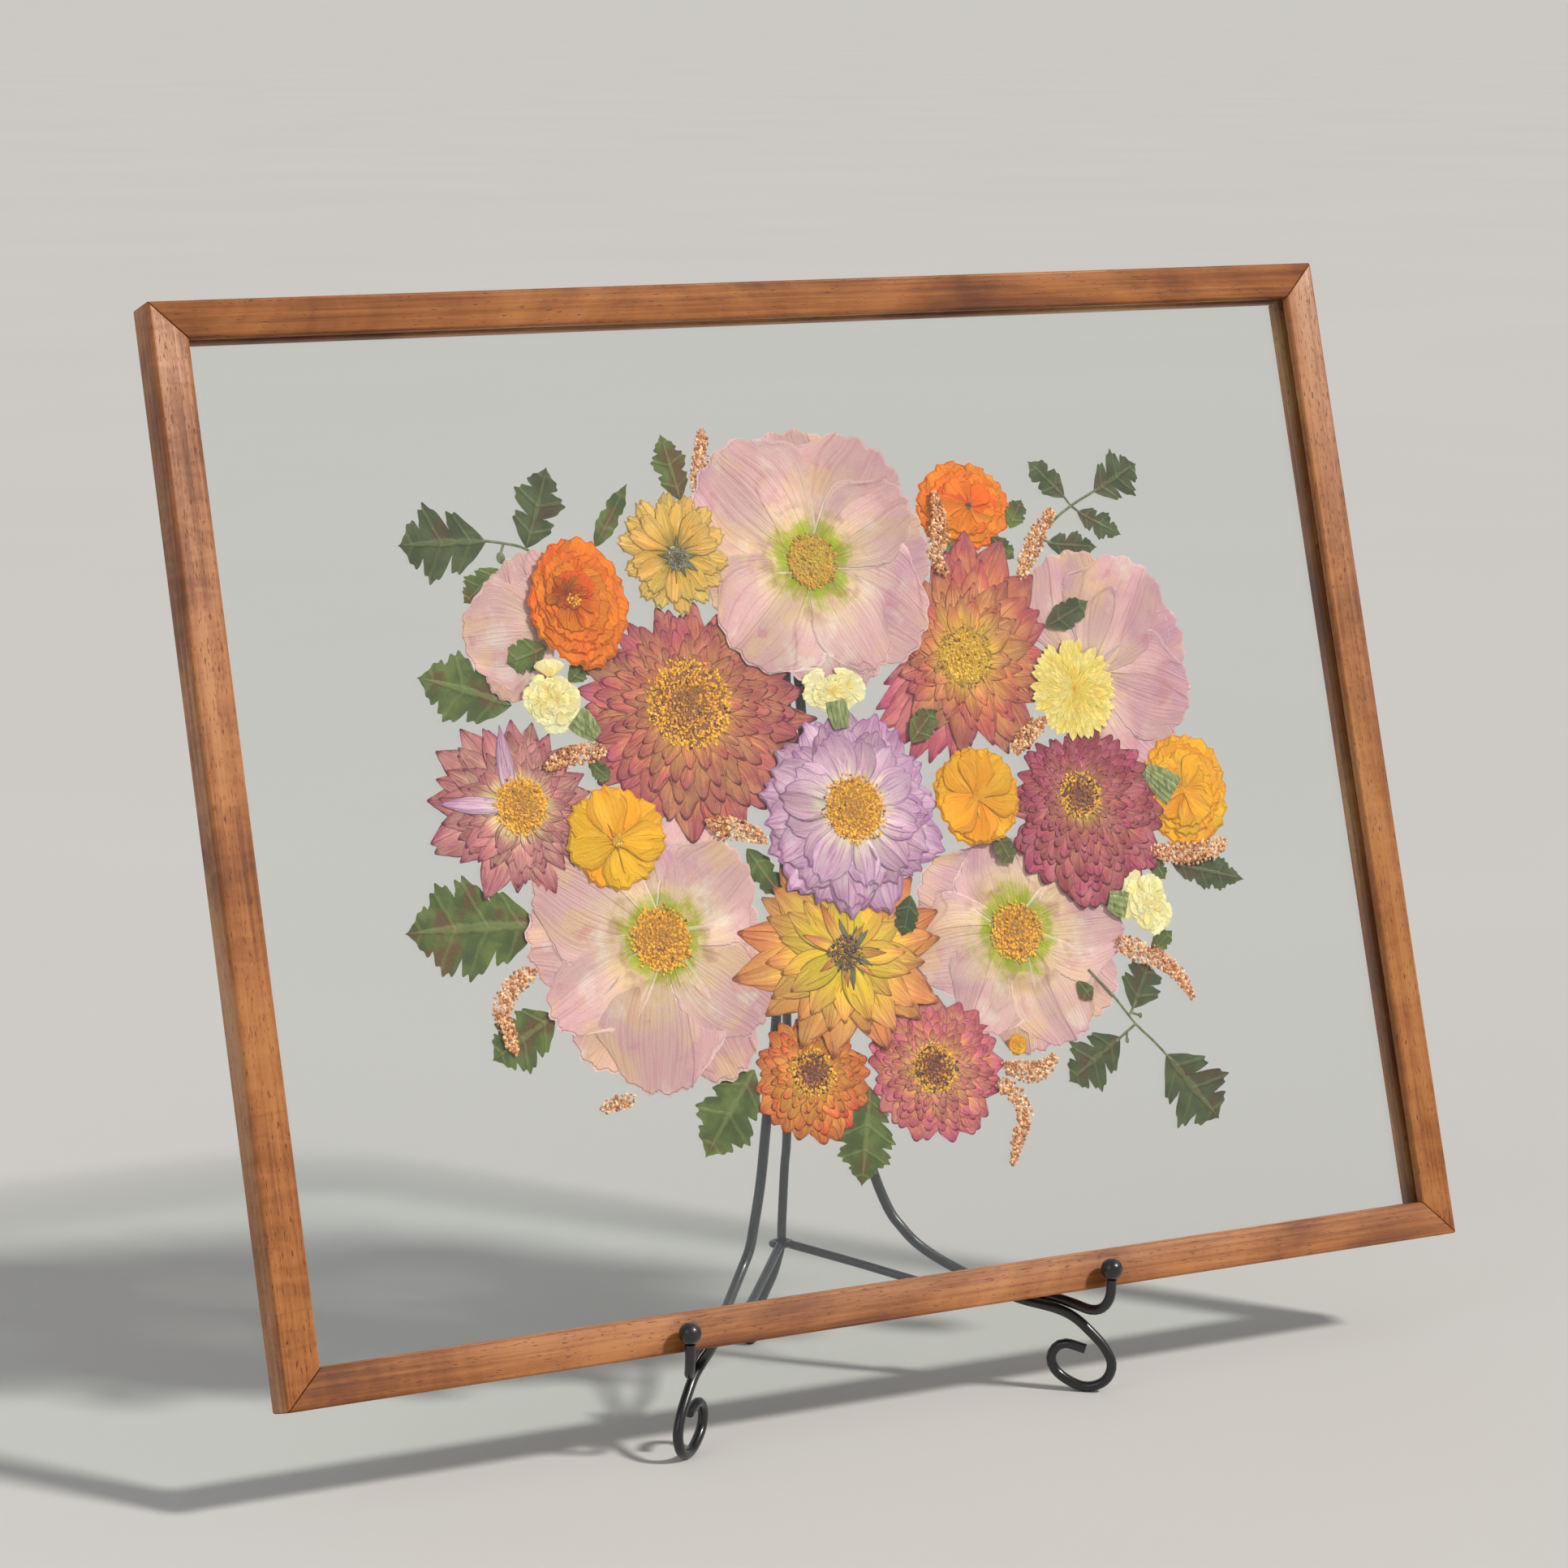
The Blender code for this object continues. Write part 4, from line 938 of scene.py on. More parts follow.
def floret_object(name, sides, radius, height, top):
    """A stubby closed floret: a tapering tube with a domed end."""
    mesh = bpy.data.meshes.new(name)
    shape = bmesh.new()
    bmesh.ops.create_cone(shape, cap_ends=True, cap_tris=True, segments=sides, radius1=radius,
                          radius2=radius * top, depth=height)
    bmesh.ops.translate(shape, vec=(0, 0, height / 2), verts=shape.verts)
    shape.to_mesh(mesh)
    shape.free()
    return bpy.data.objects.new(name, mesh)


floret_box = bpy.data.collections.new("florets")
for number, words in enumerate(((5, 0.5, 1.2, 1.15), (5, 0.55, 0.9, 0.7), (4, 0.4, 1.5, 0.9))):
    floret_box.objects.link(floret_object(f"floret_{number}", *words))

disc_tree, given, out = tree_in_nodes(
    "disc_florets",
    [("Florets", "Collection"), ("Count", "Int", 200), ("Radius", "Float", 10.0), ("Size", "Float", 0.8),
     ("Dome", "Float", 0.25), ("Ragged", "Float", 0.3), ("Flat", "Float", 0.25), ("Splay", "Float", 0.5),
     ("Seed", "Int"), ("Finish", "Material")],
)
number = node(disc_tree, "GeometryNodeInputIndex").outputs[0]
points = node(disc_tree, "GeometryNodePoints", {"Count": given["Count"]}).outputs[0]
share = maths(disc_tree, "SQRT", maths(disc_tree, "DIVIDE", maths(disc_tree, "ADD", number, 0.5),
                                       given["Count"]))
angle = maths(disc_tree, "MULTIPLY", number, GOLDEN_ANGLE)
ragged = chance_between(disc_tree, -1.0, 1.0, given["Seed"])
distance = maths(disc_tree, "MULTIPLY_ADD", share, given["Radius"], maths(disc_tree, "MULTIPLY", ragged,
                                                                          given["Ragged"]))
crown = maths(disc_tree, "MULTIPLY", given["Dome"], maths(disc_tree, "SUBTRACT", 1.0, maths(
    disc_tree, "MULTIPLY", share, share)))
spot = node(disc_tree, "ShaderNodeCombineXYZ", {
    0: maths(disc_tree, "MULTIPLY", distance, maths(disc_tree, "COSINE", angle)),
    1: maths(disc_tree, "MULTIPLY", distance, maths(disc_tree, "SINE", angle)), 2: crown}).outputs[0]
points = node(disc_tree, "GeometryNodeSetPosition", {"Geometry": points, "Position": spot}).outputs[0]
leaning = maths(disc_tree, "MULTIPLY", chance_between(disc_tree, 0.2, 1.6, seed_plus(
    disc_tree, given["Seed"], 1)), given["Splay"])
swing = maths(disc_tree, "ADD", angle, chance_between(disc_tree, -0.9, 0.9, seed_plus(
    disc_tree, given["Seed"], 2)))
turned = node(disc_tree, "ShaderNodeCombineXYZ", {1: leaning, 2: swing}).outputs[0]
size = maths(disc_tree, "MULTIPLY", given["Size"], chance_between(disc_tree, 0.65, 1.3, seed_plus(
    disc_tree, given["Seed"], 3)))
kinds = node(disc_tree, "GeometryNodeCollectionInfo",
             {"Collection": given["Florets"], "Separate Children": True}).outputs[0]
pick = chance_between(disc_tree, 0, 2, seed_plus(disc_tree, given["Seed"], 4), "INT")
laid = node(disc_tree, "GeometryNodeInstanceOnPoints", {
    "Points": points, "Instance": kinds, "Pick Instance": True, "Instance Index": pick,
    "Rotation": turned, "Scale": node(disc_tree, "ShaderNodeCombineXYZ", {0: size, 1: size, 2: size}
                                      ).outputs[0]}).outputs[0]
own_chance = chance_between(disc_tree, 0.0, 1.0, seed_plus(disc_tree, given["Seed"], 5))
for word, value in (("chance", own_chance), ("outwards", share)):
    laid = node(disc_tree, "GeometryNodeStoreNamedAttribute",
                {"Geometry": laid, "Name": word, "Value": value}, data_type="FLOAT", domain="INSTANCE"
                ).outputs[0]
pad = node(disc_tree, "GeometryNodeMeshCylinder", {
    "Vertices": 40, "Radius": maths(disc_tree, "MULTIPLY", given["Radius"], 0.9), "Depth": 0.2}).outputs[0]
joined = node(disc_tree, "GeometryNodeJoinGeometry")
disc_tree.links.new(laid, joined.inputs[0])
disc_tree.links.new(pad, joined.inputs[0])
laid = node(disc_tree, "GeometryNodeRealizeInstances", {"Geometry": joined.outputs[0]}).outputs[0]
pressed = node(disc_tree, "ShaderNodeCombineXYZ", {0: 1.0, 1: 1.0, 2: given["Flat"]}).outputs[0]
laid = node(disc_tree, "GeometryNodeTransform", {"Geometry": laid, "Scale": pressed}).outputs[0]
laid = node(disc_tree, "GeometryNodeSetMaterial",
            {"Geometry": laid, "Material": given["Finish"]}).outputs[0]
disc_tree.links.new(laid, out["Geometry"])
print("disc tree ready")

# %% [markdown]
# Pollen and stamens give each eye its colour: bright gold at the rim of some, brown in the middle of
# others. The distance kept by the tree picks the colour, and each floret's own chance scatters darker and
# lighter ones among them, with a few glossy beads where the sap dried.

# %% Disc finishes
def grain_finish(name, stops, dark, dark_share, roughness=0.55, pick="outwards"):
    """Small grains: stops run over the kept attribute, and a share of the grains is dark."""
    finish, tree, shader = new_finish(name, specular_ior_level=0.4)
    kept = node(tree, "ShaderNodeAttribute", attribute_name=pick).outputs["Fac"]
    chance = node(tree, "ShaderNodeAttribute", attribute_name="chance").outputs["Fac"]
    place = node(tree, "ShaderNodeTexCoord").outputs["Object"]
    patch = noise(tree, place, 240.0, 3.0)
    shifted = maths(tree, "ADD", kept, maths(tree, "MULTIPLY_ADD", patch, 1.0, -0.5))
    shifted = maths(tree, "ADD", shifted, maths(tree, "MULTIPLY_ADD", chance, 0.36, -0.18))
    body = ramp(tree, shifted, [(at, colour(code)) for at, code in stops])
    mottled = maths(tree, "ADD", chance, maths(tree, "MULTIPLY_ADD", patch, 0.8, -0.4))
    body = blend(tree, spread(tree, mottled, 1.0 - dark_share, 1.12 - dark_share), body, colour(dark))
    lighter = maths(tree, "MULTIPLY_ADD", chance, 0.5, 0.75)
    body = node(tree, "ShaderNodeHueSaturation", {"Value": lighter, "Color": body}).outputs[0]
    tree.links.new(body, shader.inputs["Base Color"])
    tree.links.new(spread(tree, chance, 0.86, 0.95, roughness, 0.2), shader.inputs["Roughness"])
    bump = node(tree, "ShaderNodeBump", {"Height": noise(tree, place, 2200.0, 2.0), "Strength": 0.4,
                                         "Distance": 0.0003})
    tree.links.new(bump.outputs[0], shader.inputs["Normal"])
    return finish


DISCS = {
    "golden": grain_finish("disc_golden", [(0.0, "#C48414"), (0.5, "#F0A410"), (1.0, "#FCB020")],
                           "#7C4810", 0.16),
    "stamens": grain_finish("disc_stamens", [(0.0, "#945410"), (0.3, "#C88010"), (0.6, "#F4A010"),
                            (1.0, "#FCBC20")], "#5C2C0C", 0.14),
    "yellow": grain_finish("disc_yellow", [(0.0, "#DCA010"), (0.7, "#F0BC20"), (1.0, "#8C5C18")],
                           "#744810", 0.18),
    "brown": grain_finish("disc_brown", [(0.0, "#6C3008"), (0.4, "#A4580C"), (0.7, "#E09818"),
                          (1.0, "#F8BC28")], "#4C1C08", 0.22),
    "ochre": grain_finish("disc_ochre", [(0.0, "#D0A828"), (0.7, "#D09818"), (1.0, "#D88810")],
                          "#8C6014", 0.16),
    "sage": grain_finish("disc_sage", [(0.0, "#686048"), (1.0, "#948C70")], "#4C4434", 0.3),
    "dark": grain_finish("disc_dark", [(0.0, "#4C2414"), (0.6, "#6C4420"), (1.0, "#846034")],
                         "#2C140C", 0.35),
}
print(len(DISCS), "disc finishes")

# %% [markdown]
# ## The ringed blooms
# Dahlias, marigolds, the cosmos and the zinnia are all rings of petals and, on most, a disc. The solids
# say where each bloom is and how far it reaches; the table says how it is made.

# %% Laying blooms
def face_place(u, v, w, turn=0.0):
    """From a bloom's own millimetres to the row frame, with its middle at u, v, w."""
    return TO_ROW @ Matrix.Translation((u, v, w)) @ Matrix.Rotation(turn, 4, "Z")


def lay(name, mesh, finish, slot, u, v, w, *replaced, turn=0.0, angle=38.0):
    mesh.transform(face_place(u, v, w, turn))
    smooth(mesh, angle)
    return finished(name, mesh, finish, slot, *replaced)


def disc_of(name, finish, slot, u, v, w, radius, oval=1.0, size=0.95, crowd=1.0, seed=0, **more):
    count = int(crowd * 2.6 * (radius / size) ** 2)
    values = {"Florets": floret_box, "Count": count, "Radius": float(radius), "Size": size, "Seed": seed,
              "Ragged": 0.09 * radius, "Finish": DISCS[finish]}
    values.update({key.replace("_", " ").title(): value for key, value in more.items()})
    mesh = grow(disc_tree, values)
    mesh.transform(Matrix.Diagonal((1.0, oval, 1.0, 1.0)))
    return lay(f"{name}_disc", mesh, DISCS[finish], slot, u, v, w, angle=60)


# shape, finish, slot, petals in a ring, rings, inner ring's share, share left free at the eye, longest
# petal, breadth, then the disc's finish, radius and place from the middle
RINGED = {
    "dahlia_terracotta": ("spoon", "terracotta", "petal_terracotta", 28, 5, 0.5, 0.22, 24.0, 1.1,
                          ("stamens", 17.0, 0.5, 7.0)),
    "dahlia_coral": ("pointed", "coral", "petal_terracotta", 22, 4, 0.52, 0.16, 30.0, 1.15,
                     ("yellow", 12.0, -5.0, -3.5)),
    "dahlia_rose": ("pointed", "rose", "petal_terracotta", 26, 4, 0.56, 0.2, 26.0, 1.25,
                    ("golden", 10.5, 4.0, 0.0)),
    "dahlia_crimson": ("broad", "crimson", "petal_terracotta", 31, 8, 0.36, 0.18, 17.0, 1.35,
                       ("brown", 9.5, -2.5, 9.0)),
    "dahlia_magenta_small": ("broad", "magenta", "petal_terracotta", 25, 6, 0.42, 0.2, 12.0, 1.15,
                             ("brown", 9.5, -0.5, 0.5)),
    "dahlia_orange_small": ("broad", "burnt_orange", "petal_orange", 21, 5, 0.46, 0.2, 13.0, 1.15,
                            ("brown", 9.0, 0.5, 3.0)),
    "dahlia_lilac": ("notched", "lilac", "petal_lilac", 15, 3, 0.76, 0.2, 40.0, 1.08,
                     ("golden", 13.0, 2.5, 2.0)),
    "dahlia_rust_tipped": ("pointed", "rust_tipped", "petal_gold", 15, 3, 0.62, 0.05, 50.0, 0.9,
                           ("dark", 7.0, 1.0, 0.0)),
    "zinnia_golden": ("ruffled", "zinnia_gold", "petal_gold", 14, 2, 0.84, 0.10, 40.0, 0.8, None),
    "marigold_deep_orange": ("ruffled", "marigold_deep", "petal_orange", 9, 4, 0.5, 0.0, 40.0, 1.3,
                             ("golden", 2.6, -2.0, 1.5)),
    "marigold_orange": ("ruffled", "marigold_orange", "petal_orange", 9, 3, 0.66, 0.0, 40.0, 1.3,
                        ("dark", 1.2, 3.0, 0.5)),
    "marigold_golden": ("ruffled", "marigold_gold", "petal_gold", 8, 2, 0.97, 0.0, 40.0, 1.1, None),
    "marigold_golden_right": ("ruffled", "marigold_gold", "petal_gold", 9, 3, 0.7, 0.0, 40.0, 1.3, None),
    "cosmos_golden": ("ruffled", "marigold_gold", "petal_gold", 9, 1, 1.0, 0.0, 40.0, 1.06,
                      ("yellow", 2.4, 0.5, -1.5)),
    "pompon_cream": ("spiky", "pompon", "petal_cream", 42, 10, 0.12, 0.0, 6.0, 0.95, None),
}
# the heap of a bloom's rings, the gap between it and its disc, the height of the specimens furthest back,
# and the height from one layer of specimens to the next
PETAL_STACK = 0.32
DISC_LIFT = 0.06
BACK_LAYER = middle_and_reach("leaf_top")[0][2]
LAYER = 0.43
# how much the petals of one bloom differ in length; a petal that tapers ends short of the outline, so its
# bloom is laid a little larger
UNEVEN = {"pointed": 0.16, "notched": 0.12}
FULL_SHAPES = ("spiky", "ruffled")
for seed, (name, recipe) in enumerate(RINGED.items(), 11):
    shape, finish, slot, each, rings, inner, start, longest, breadth, disc = recipe
    (u, v, w), (across, up, _) = middle_and_reach(name)
    disc_finish, radius, right, higher = disc or (None, 0.0, 0.0, 0.0)
    oval = float(up / across)
    reach = across * (1.0 if shape in FULL_SHAPES else 1.05)
    mesh = petal_rings(shape, finish, each, rings, reach, inner, across * start, longest=longest,
                       breadth=breadth, up_over_across=oval, seed=seed, step=PETAL_STACK / rings,
                       off_right=float(right), off_up=higher / oval, turn=0.37 * seed, stray=0.12,
                       uneven=UNEVEN.get(shape, 0.07))
    eye_u, eye_v = u + right, v + higher
    piece = lay(name + "_petals", mesh, PETALS[finish], slot, eye_u, eye_v, w - PETAL_STACK / 2, name)
    print(piece.name, each * rings, "petals,", len(mesh.polygons), "faces")
    if disc:
        on_petals = w + PETAL_STACK / 2 + DISC_LIFT
        disc_of(name, disc_finish, slot, eye_u, eye_v, on_petals, radius, seed=seed)

# %% [markdown]
# Some blooms lie face down or carry a second ring of small leaves at the eye. The zinnia shows grey-green
# sepals, the rust-tipped dahlia has pale scales round its dark heart, and the deep orange marigold has a
# few petals curled up brown. All are the same ring tree with short petals, and so is the tiny floret that
# lies alone near the bottom.

# %% Sepals and scales
def small_ring(name, shape, finish, slot, u, v, w, each, rings, reach, inner, breadth, seed):
    mesh = petal_rings(shape, finish, each, rings, reach, inner, 0.0, breadth=breadth, seed=seed, step=0.04,
                       longest=40.0, stray=0.16, uneven=0.35)
    return lay(name, mesh, PETALS[finish], slot, u, v, w)


(u, v, w), _ = middle_and_reach("zinnia_golden")
small_ring("zinnia_sepals", "pointed", "sage", "petal_gold", u + 1.0, v - 2.5, w + 0.22,
           each=9, rings=2, reach=9.0, inner=0.6, breadth=0.3, seed=3)
disc_of("zinnia_golden", "sage", "petal_gold", u + 1.0, v - 2.5, w + 0.22, 4.2, size=0.7, seed=3)
(u, v, w), _ = middle_and_reach("dahlia_rust_tipped")
small_ring("rust_dahlia_scales", "pointed", "sage", "petal_gold", u + 3.0, v, w + 0.2,
           each=11, rings=2, reach=14.0, inner=0.7, breadth=0.32, seed=5)
small_ring("rust_dahlia_inner_petals", "pointed", "rust_tipped", "petal_gold", u + 1.0, v, w + 0.24,
           each=7, rings=1, reach=20.0, inner=1.0, breadth=0.22, seed=8)
(u, v, w), _ = middle_and_reach("marigold_deep_orange")
small_ring("marigold_curled_petals", "ruffled", "curled", "petal_orange", u - 4.5, v + 4.0, w + 0.2,
           each=7, rings=3, reach=9.5, inner=0.6, breadth=0.5, seed=6)
small_ring("floret_yellow", "ruffled", "marigold_gold", "petal_gold", 66.0, -104.0, w,
           each=5, rings=2, reach=4.2, inner=0.6, breadth=1.2, seed=9)
print("sepals and scales laid")

# %% [markdown]
# ## The papery blooms
# Their petals are few, broad and all different, so each is placed one by one: the way it points, its length
# and its breadth. A petal is a sister from the same family of shapes, stretched and turned, and it lies a
# hair above the one before it so that the bloom fans round like a hand of cards.

# %% Papery petals
PAPERY = {
    "bloom_pink_top": (5.5, 91.5, [(95, 53, 60), (12, 53, 58), (-78, 54, 52), (180, 49, 54), (55, 56, 60),
                                   (-35, 56, 54), (-138, 51, 54), (135, 58, 60), (-60, 50, 34),
                                   (30, 52, 36)]),
    "petals_pink_left": (-108.0, 72.0, [(114, 32, 36), (148, 32, 30), (222, 35, 26), (185, 37, 40)]),
    "bloom_pink_right": (125.0, 40.0, [(100, 50, 50), (20, 48, 46), (-50, 47, 40), (58, 52, 50),
                                       (-15, 47, 44)]),
    "bloom_pink_lower_left": (-80.0, -48.0, [(62, 49, 48), (5, 43, 40), (-64, 61, 44), (-130, 58, 40),
                                             (178, 56, 50), (105, 43, 40), (35, 48, 44), (-38, 53, 44),
                                             (-100, 60, 52), (-150, 56, 36), (148, 58, 50)]),
    "bloom_pink_lower_right": (74.0, -60.0, [(150, 47, 44), (45, 42, 40), (-36, 51, 40), (-88, 49, 40),
                                             (187, 48, 42), (95, 39, 44), (0, 50, 46), (-62, 50, 42),
                                             (-125, 44, 40)]),
}
PAPERY_DISCS = {
    "bloom_pink_top": ("ochre", 10.5),
    "bloom_pink_lower_left": ("golden", 12.5),
    "bloom_pink_lower_right": ("golden", 11.5),
}
# the distance from the eye that counts as 1 in the papery finish, and how far up that scale the petals
# start in the blooms whose eyes are hidden
FULL_REACH = 50.0
NO_GREEN = 0.3


def fanned_petals(box, petals, seed, pale, step=0.035):
    """Petals placed one by one: direction, length and breadth. With pale, they show no green at the eye."""
    chance = np.random.default_rng(seed)
    sisters = [evaluated_sister(petal) for petal in box.objects]
    whole = bmesh.new()
    for number, (direction, length, breadth) in enumerate(petals):
        mesh = sisters[int(chance.integers(len(sisters)))].copy()
        mesh.transform(Matrix.Rotation(math.radians(direction - 90), 4, "Z")
                       @ Matrix.Translation((0, 0, number * step))
                       @ Matrix.Diagonal((breadth, length, 1, 1)))
        own = mesh.attributes.new("chance", "FLOAT", "POINT")
        own.data.foreach_set("value", np.full(len(mesh.vertices), chance.uniform()))
        distance = mesh.attributes.new("from_eye", "FLOAT", "POINT")
        reached = [point.co.xy.length / FULL_REACH + pale for point in mesh.vertices]
        distance.data.foreach_set("value", reached)
        whole.from_mesh(mesh)
        bpy.data.meshes.remove(mesh)
    result = bpy.data.meshes.new("fan")
    whole.to_mesh(result)
    whole.free()
    return result


def evaluated_sister(petal):
    """A template petal with its thickness, as a plain mesh."""
    bpy.context.scene.collection.objects.link(petal)
    mesh = evaluated_mesh(petal)
    bpy.context.scene.collection.objects.unlink(petal)
    return mesh


for seed, (name, (u, v, petals)) in enumerate(PAPERY.items(), 31):
    w = middle_and_reach(name)[0][2]
    mesh = fanned_petals(petal_boxes["papery"], petals, seed, 0.0 if name in PAPERY_DISCS else NO_GREEN)
    piece = lay(name + "_petals", mesh, PETALS["papery_pink"], "petal_pink", u, v, w - 0.05, name)
    print(piece.name, len(petals), "petals,", len(mesh.polygons), "faces")
    if name in PAPERY_DISCS:
        disc_finish, radius = PAPERY_DISCS[name]
        disc_of(name, disc_finish, "petal_pink", u, v, w + 0.38, radius, seed=seed)

# %% [markdown]
# Some petals were laid beside their blooms: long purple ones below the coral dahlia, a fan that shows at the
# right of the terracotta one, and two pale ones across the rose dahlia. The same function fans them.

# %% Loose petals
LOOSE = {
    "loose_purple_petals": ("dahlia_coral", "magenta", BACK_LAYER + 0.1, [
        (196, 44, 13), (204, 52, 14), (212, 58, 14), (221, 60, 14), (230, 57, 14), (239, 52, 14),
        (248, 47, 13)]),
    "loose_terracotta_petals": ("dahlia_terracotta", "terracotta", BACK_LAYER + 0.05, [
        (-50, 48, 14), (-38, 52, 14), (-26, 54, 15), (-14, 54, 14), (-2, 55, 15), (10, 53, 14),
        (22, 50, 14)]),
    "loose_pale_petals": ("dahlia_rose", "lilac", None, [(174, 29, 6), (92, 31, 6)]),
}
for seed, (name, (bloom, finish, w, petals)) in enumerate(LOOSE.items(), 45):
    u, v, own_w = middle_and_reach(bloom)[0]
    mesh = fanned_petals(petal_boxes["pointed"], petals, seed, 0.0)
    lay(name, mesh, PETALS[finish], "petal_terracotta", u, v, own_w + 0.17 if w is None else w)
print(len(LOOSE), "groups of loose petals laid")

# %% [markdown]
# ## Carnations
# A pressed carnation is a crush of frilled cream petals above its green cup. The frill is the ruffled
# petal again, many and short, and the cup is a small tapering body pressed flat, ribbed along its length,
# with painted shade in the grooves between its ribs.

# %% Carnations and cups
def leaf_like(name, light, dark, brown):
    """Plain green tissue for cups and stems, with painted shade darkening the grooves between a cup's ribs.
    """
    finish, tree, shader = new_finish(name, specular_ior_level=0.35)
    place = node(tree, "ShaderNodeTexCoord").outputs["Object"]
    streak = noise(tree, stretched(tree, place, (900.0, 260.0, 260.0)), 1.0, 3.0)
    body = blend(tree, spread(tree, streak, 0.3, 0.7), colour(dark), colour(light))
    body = blend(tree, spread(tree, noise(tree, place, 150.0), 0.55, 0.75), body, colour(brown))
    groove_shade = node(tree, "ShaderNodeAttribute", attribute_name="groove_shade").outputs["Fac"]
    # painted shade: darker in the grooves between the ribs
    body = blend(tree, maths(tree, "MULTIPLY", groove_shade, 0.7), body, colour(dark))
    tree.links.new(body, shader.inputs["Base Color"])
    tree.links.new(spread(tree, streak, 0.2, 0.8, 0.7, 0.5), shader.inputs["Roughness"])
    bump = node(tree, "ShaderNodeBump", {"Height": streak, "Strength": 0.5, "Distance": 0.0004})
    tree.links.new(bump.outputs[0], shader.inputs["Normal"])
    return finish


cup_green = leaf_like("cup_green", "#ACB070", "#5C6834", "#8C8450")


def cup(name, slot, base, tip, base_width, tip_width, w, ribs=9):
    """A flattened ribbed cup from base to tip, in the face's millimetres."""
    start, end = Vector(base), Vector(tip)
    length = (end - start).length
    mesh = bpy.data.meshes.new(name)
    shape = bmesh.new()
    bmesh.ops.create_cone(shape, cap_ends=True, segments=ribs * 4, radius1=base_width / 2,
                          radius2=tip_width / 2, depth=length)
    long_edges = [e for e in shape.edges if abs(e.verts[0].co.z - e.verts[1].co.z) > 1]
    bmesh.ops.subdivide_edges(shape, edges=long_edges, cuts=7)
    # where the painted shade of the grooves goes
    groove_shade = shape.verts.layers.float.new("groove_shade")
    for vertex in shape.verts:
        x, y, z = vertex.co
        t = z / length + 0.5
        round_angle = math.atan2(y, x)
        swell = (1 + 0.18 * math.sin(math.pi * t)) * (1 + 0.2 * math.cos(ribs * round_angle))
        vertex[groove_shade] = 0.5 - 0.5 * math.cos(ribs * round_angle)
        vertex.co = (x * swell, z + length / 2, y * swell * 0.5 / base_width)
    bmesh.ops.recalc_face_normals(shape, faces=shape.faces)
    shape.to_mesh(mesh)
    shape.free()
    way = math.atan2(end.y - start.y, end.x - start.x) - math.pi / 2
    return lay(name, mesh, cup_green, slot, start.x, start.y, w, turn=way, angle=50)


CARNATIONS = {
    "carnation_left": (-111.5, 46.0, 14.5, 1.0, ((-95.5, 30.5), (-103.5, 38.5), 5.0, 9.0)),
    "carnation_middle": (6.0, 40.5, 14.5, 0.66, ((8.0, 25.5), (7.0, 36.5), 5.5, 8.0)),
    "carnation_right": (134.5, -55.0, 12.5, 1.2, ((117.0, -51.5), (125.0, -54.5), 6.0, 9.0)),
}
for seed, (name, (u, v, reach, oval, its_cup)) in enumerate(CARNATIONS.items(), 51):
    w = middle_and_reach(name)[0][2]
    cup(f"{name}_cup", "petal_cream", *its_cup, w + 0.12)
    mesh = petal_rings("ruffled", "cream", 10, 6, reach, 0.3, 0.0, longest=7.0, breadth=1.2,
                       up_over_across=oval, seed=seed, step=0.06, stray=0.4, uneven=0.35, roll=0.05)
    piece = lay(name + "_frill", mesh, PETALS["cream"], "petal_cream", u, v, w + 0.05, name)
    print(piece.name, len(mesh.polygons), "faces")
w = middle_and_reach("marigold_golden_right")[0][2]
cup("marigold_cup", "petal_gold", (143.0, -1.0), (155.0, -11.0), 5.0, 11.5, w + 0.3, 13)

# %% [markdown]
# ## Leaves
# A leaf is a grid whose side veins sweep forwards. Its half-width along the midrib is one long swell,
# multiplied by a saw-tooth for the lobes and a finer one for the teeth, and each point is then moved
# forward as far as it is from the midrib. Lines of equal y in the leaf's map therefore follow the side
# veins, and the finish can draw every vein from the map alone.

# %% Leaf finish and blade
leaf_skin, given, out = group(
    "leaf_skin", "ShaderNodeTree",
    [("Map", "Vector"), ("Place", "Vector"), ("Fineness", "Float", 1.0)],
    [("Midrib", "Float"), ("Side Veins", "Float"), ("Browned", "Float"), ("Mottle", "Float"),
     ("Normal", "Vector")],
)
parts = node(leaf_skin, "ShaderNodeSeparateXYZ", {0: given["Map"]}).outputs
across = maths(leaf_skin, "ABSOLUTE", maths(leaf_skin, "MULTIPLY_ADD", parts[0], 2.0, -1.0))
midrib = spread(leaf_skin, across, 0.05, 0.16, 1.0, 0.0)
in_lobe = maths(leaf_skin, "FRACT", maths(leaf_skin, "ADD", parts[1], maths(
    leaf_skin, "MULTIPLY_ADD", noise(leaf_skin, given["Place"], 160.0), 0.2, -0.1)))
from_vein = maths(leaf_skin, "ABSOLUTE", maths(leaf_skin, "SUBTRACT", in_lobe, 0.55))
side_veins = spread(leaf_skin, from_vein, 0.02, 0.10, 1.0, 0.0)
fine = noise(leaf_skin, given["Place"], 700.0, 4.0, 0.65, 0.8)
mottle = noise(leaf_skin, given["Place"], 110.0, 4.0)
browned = spread(leaf_skin, maths(leaf_skin, "SUBTRACT", noise(leaf_skin, given["Place"], 75.0, 3.0), maths(
    leaf_skin, "MULTIPLY", across, 0.16)), 0.42, 0.56)
leaf_skin.links.new(midrib, out["Midrib"])
leaf_skin.links.new(side_veins, out["Side Veins"])
leaf_skin.links.new(browned, out["Browned"])
leaf_skin.links.new(mottle, out["Mottle"])
raised = maths(leaf_skin, "ADD", midrib, maths(leaf_skin, "MULTIPLY", side_veins, 0.6))
raised = maths(leaf_skin, "ADD", raised, maths(leaf_skin, "MULTIPLY", fine, 0.9))
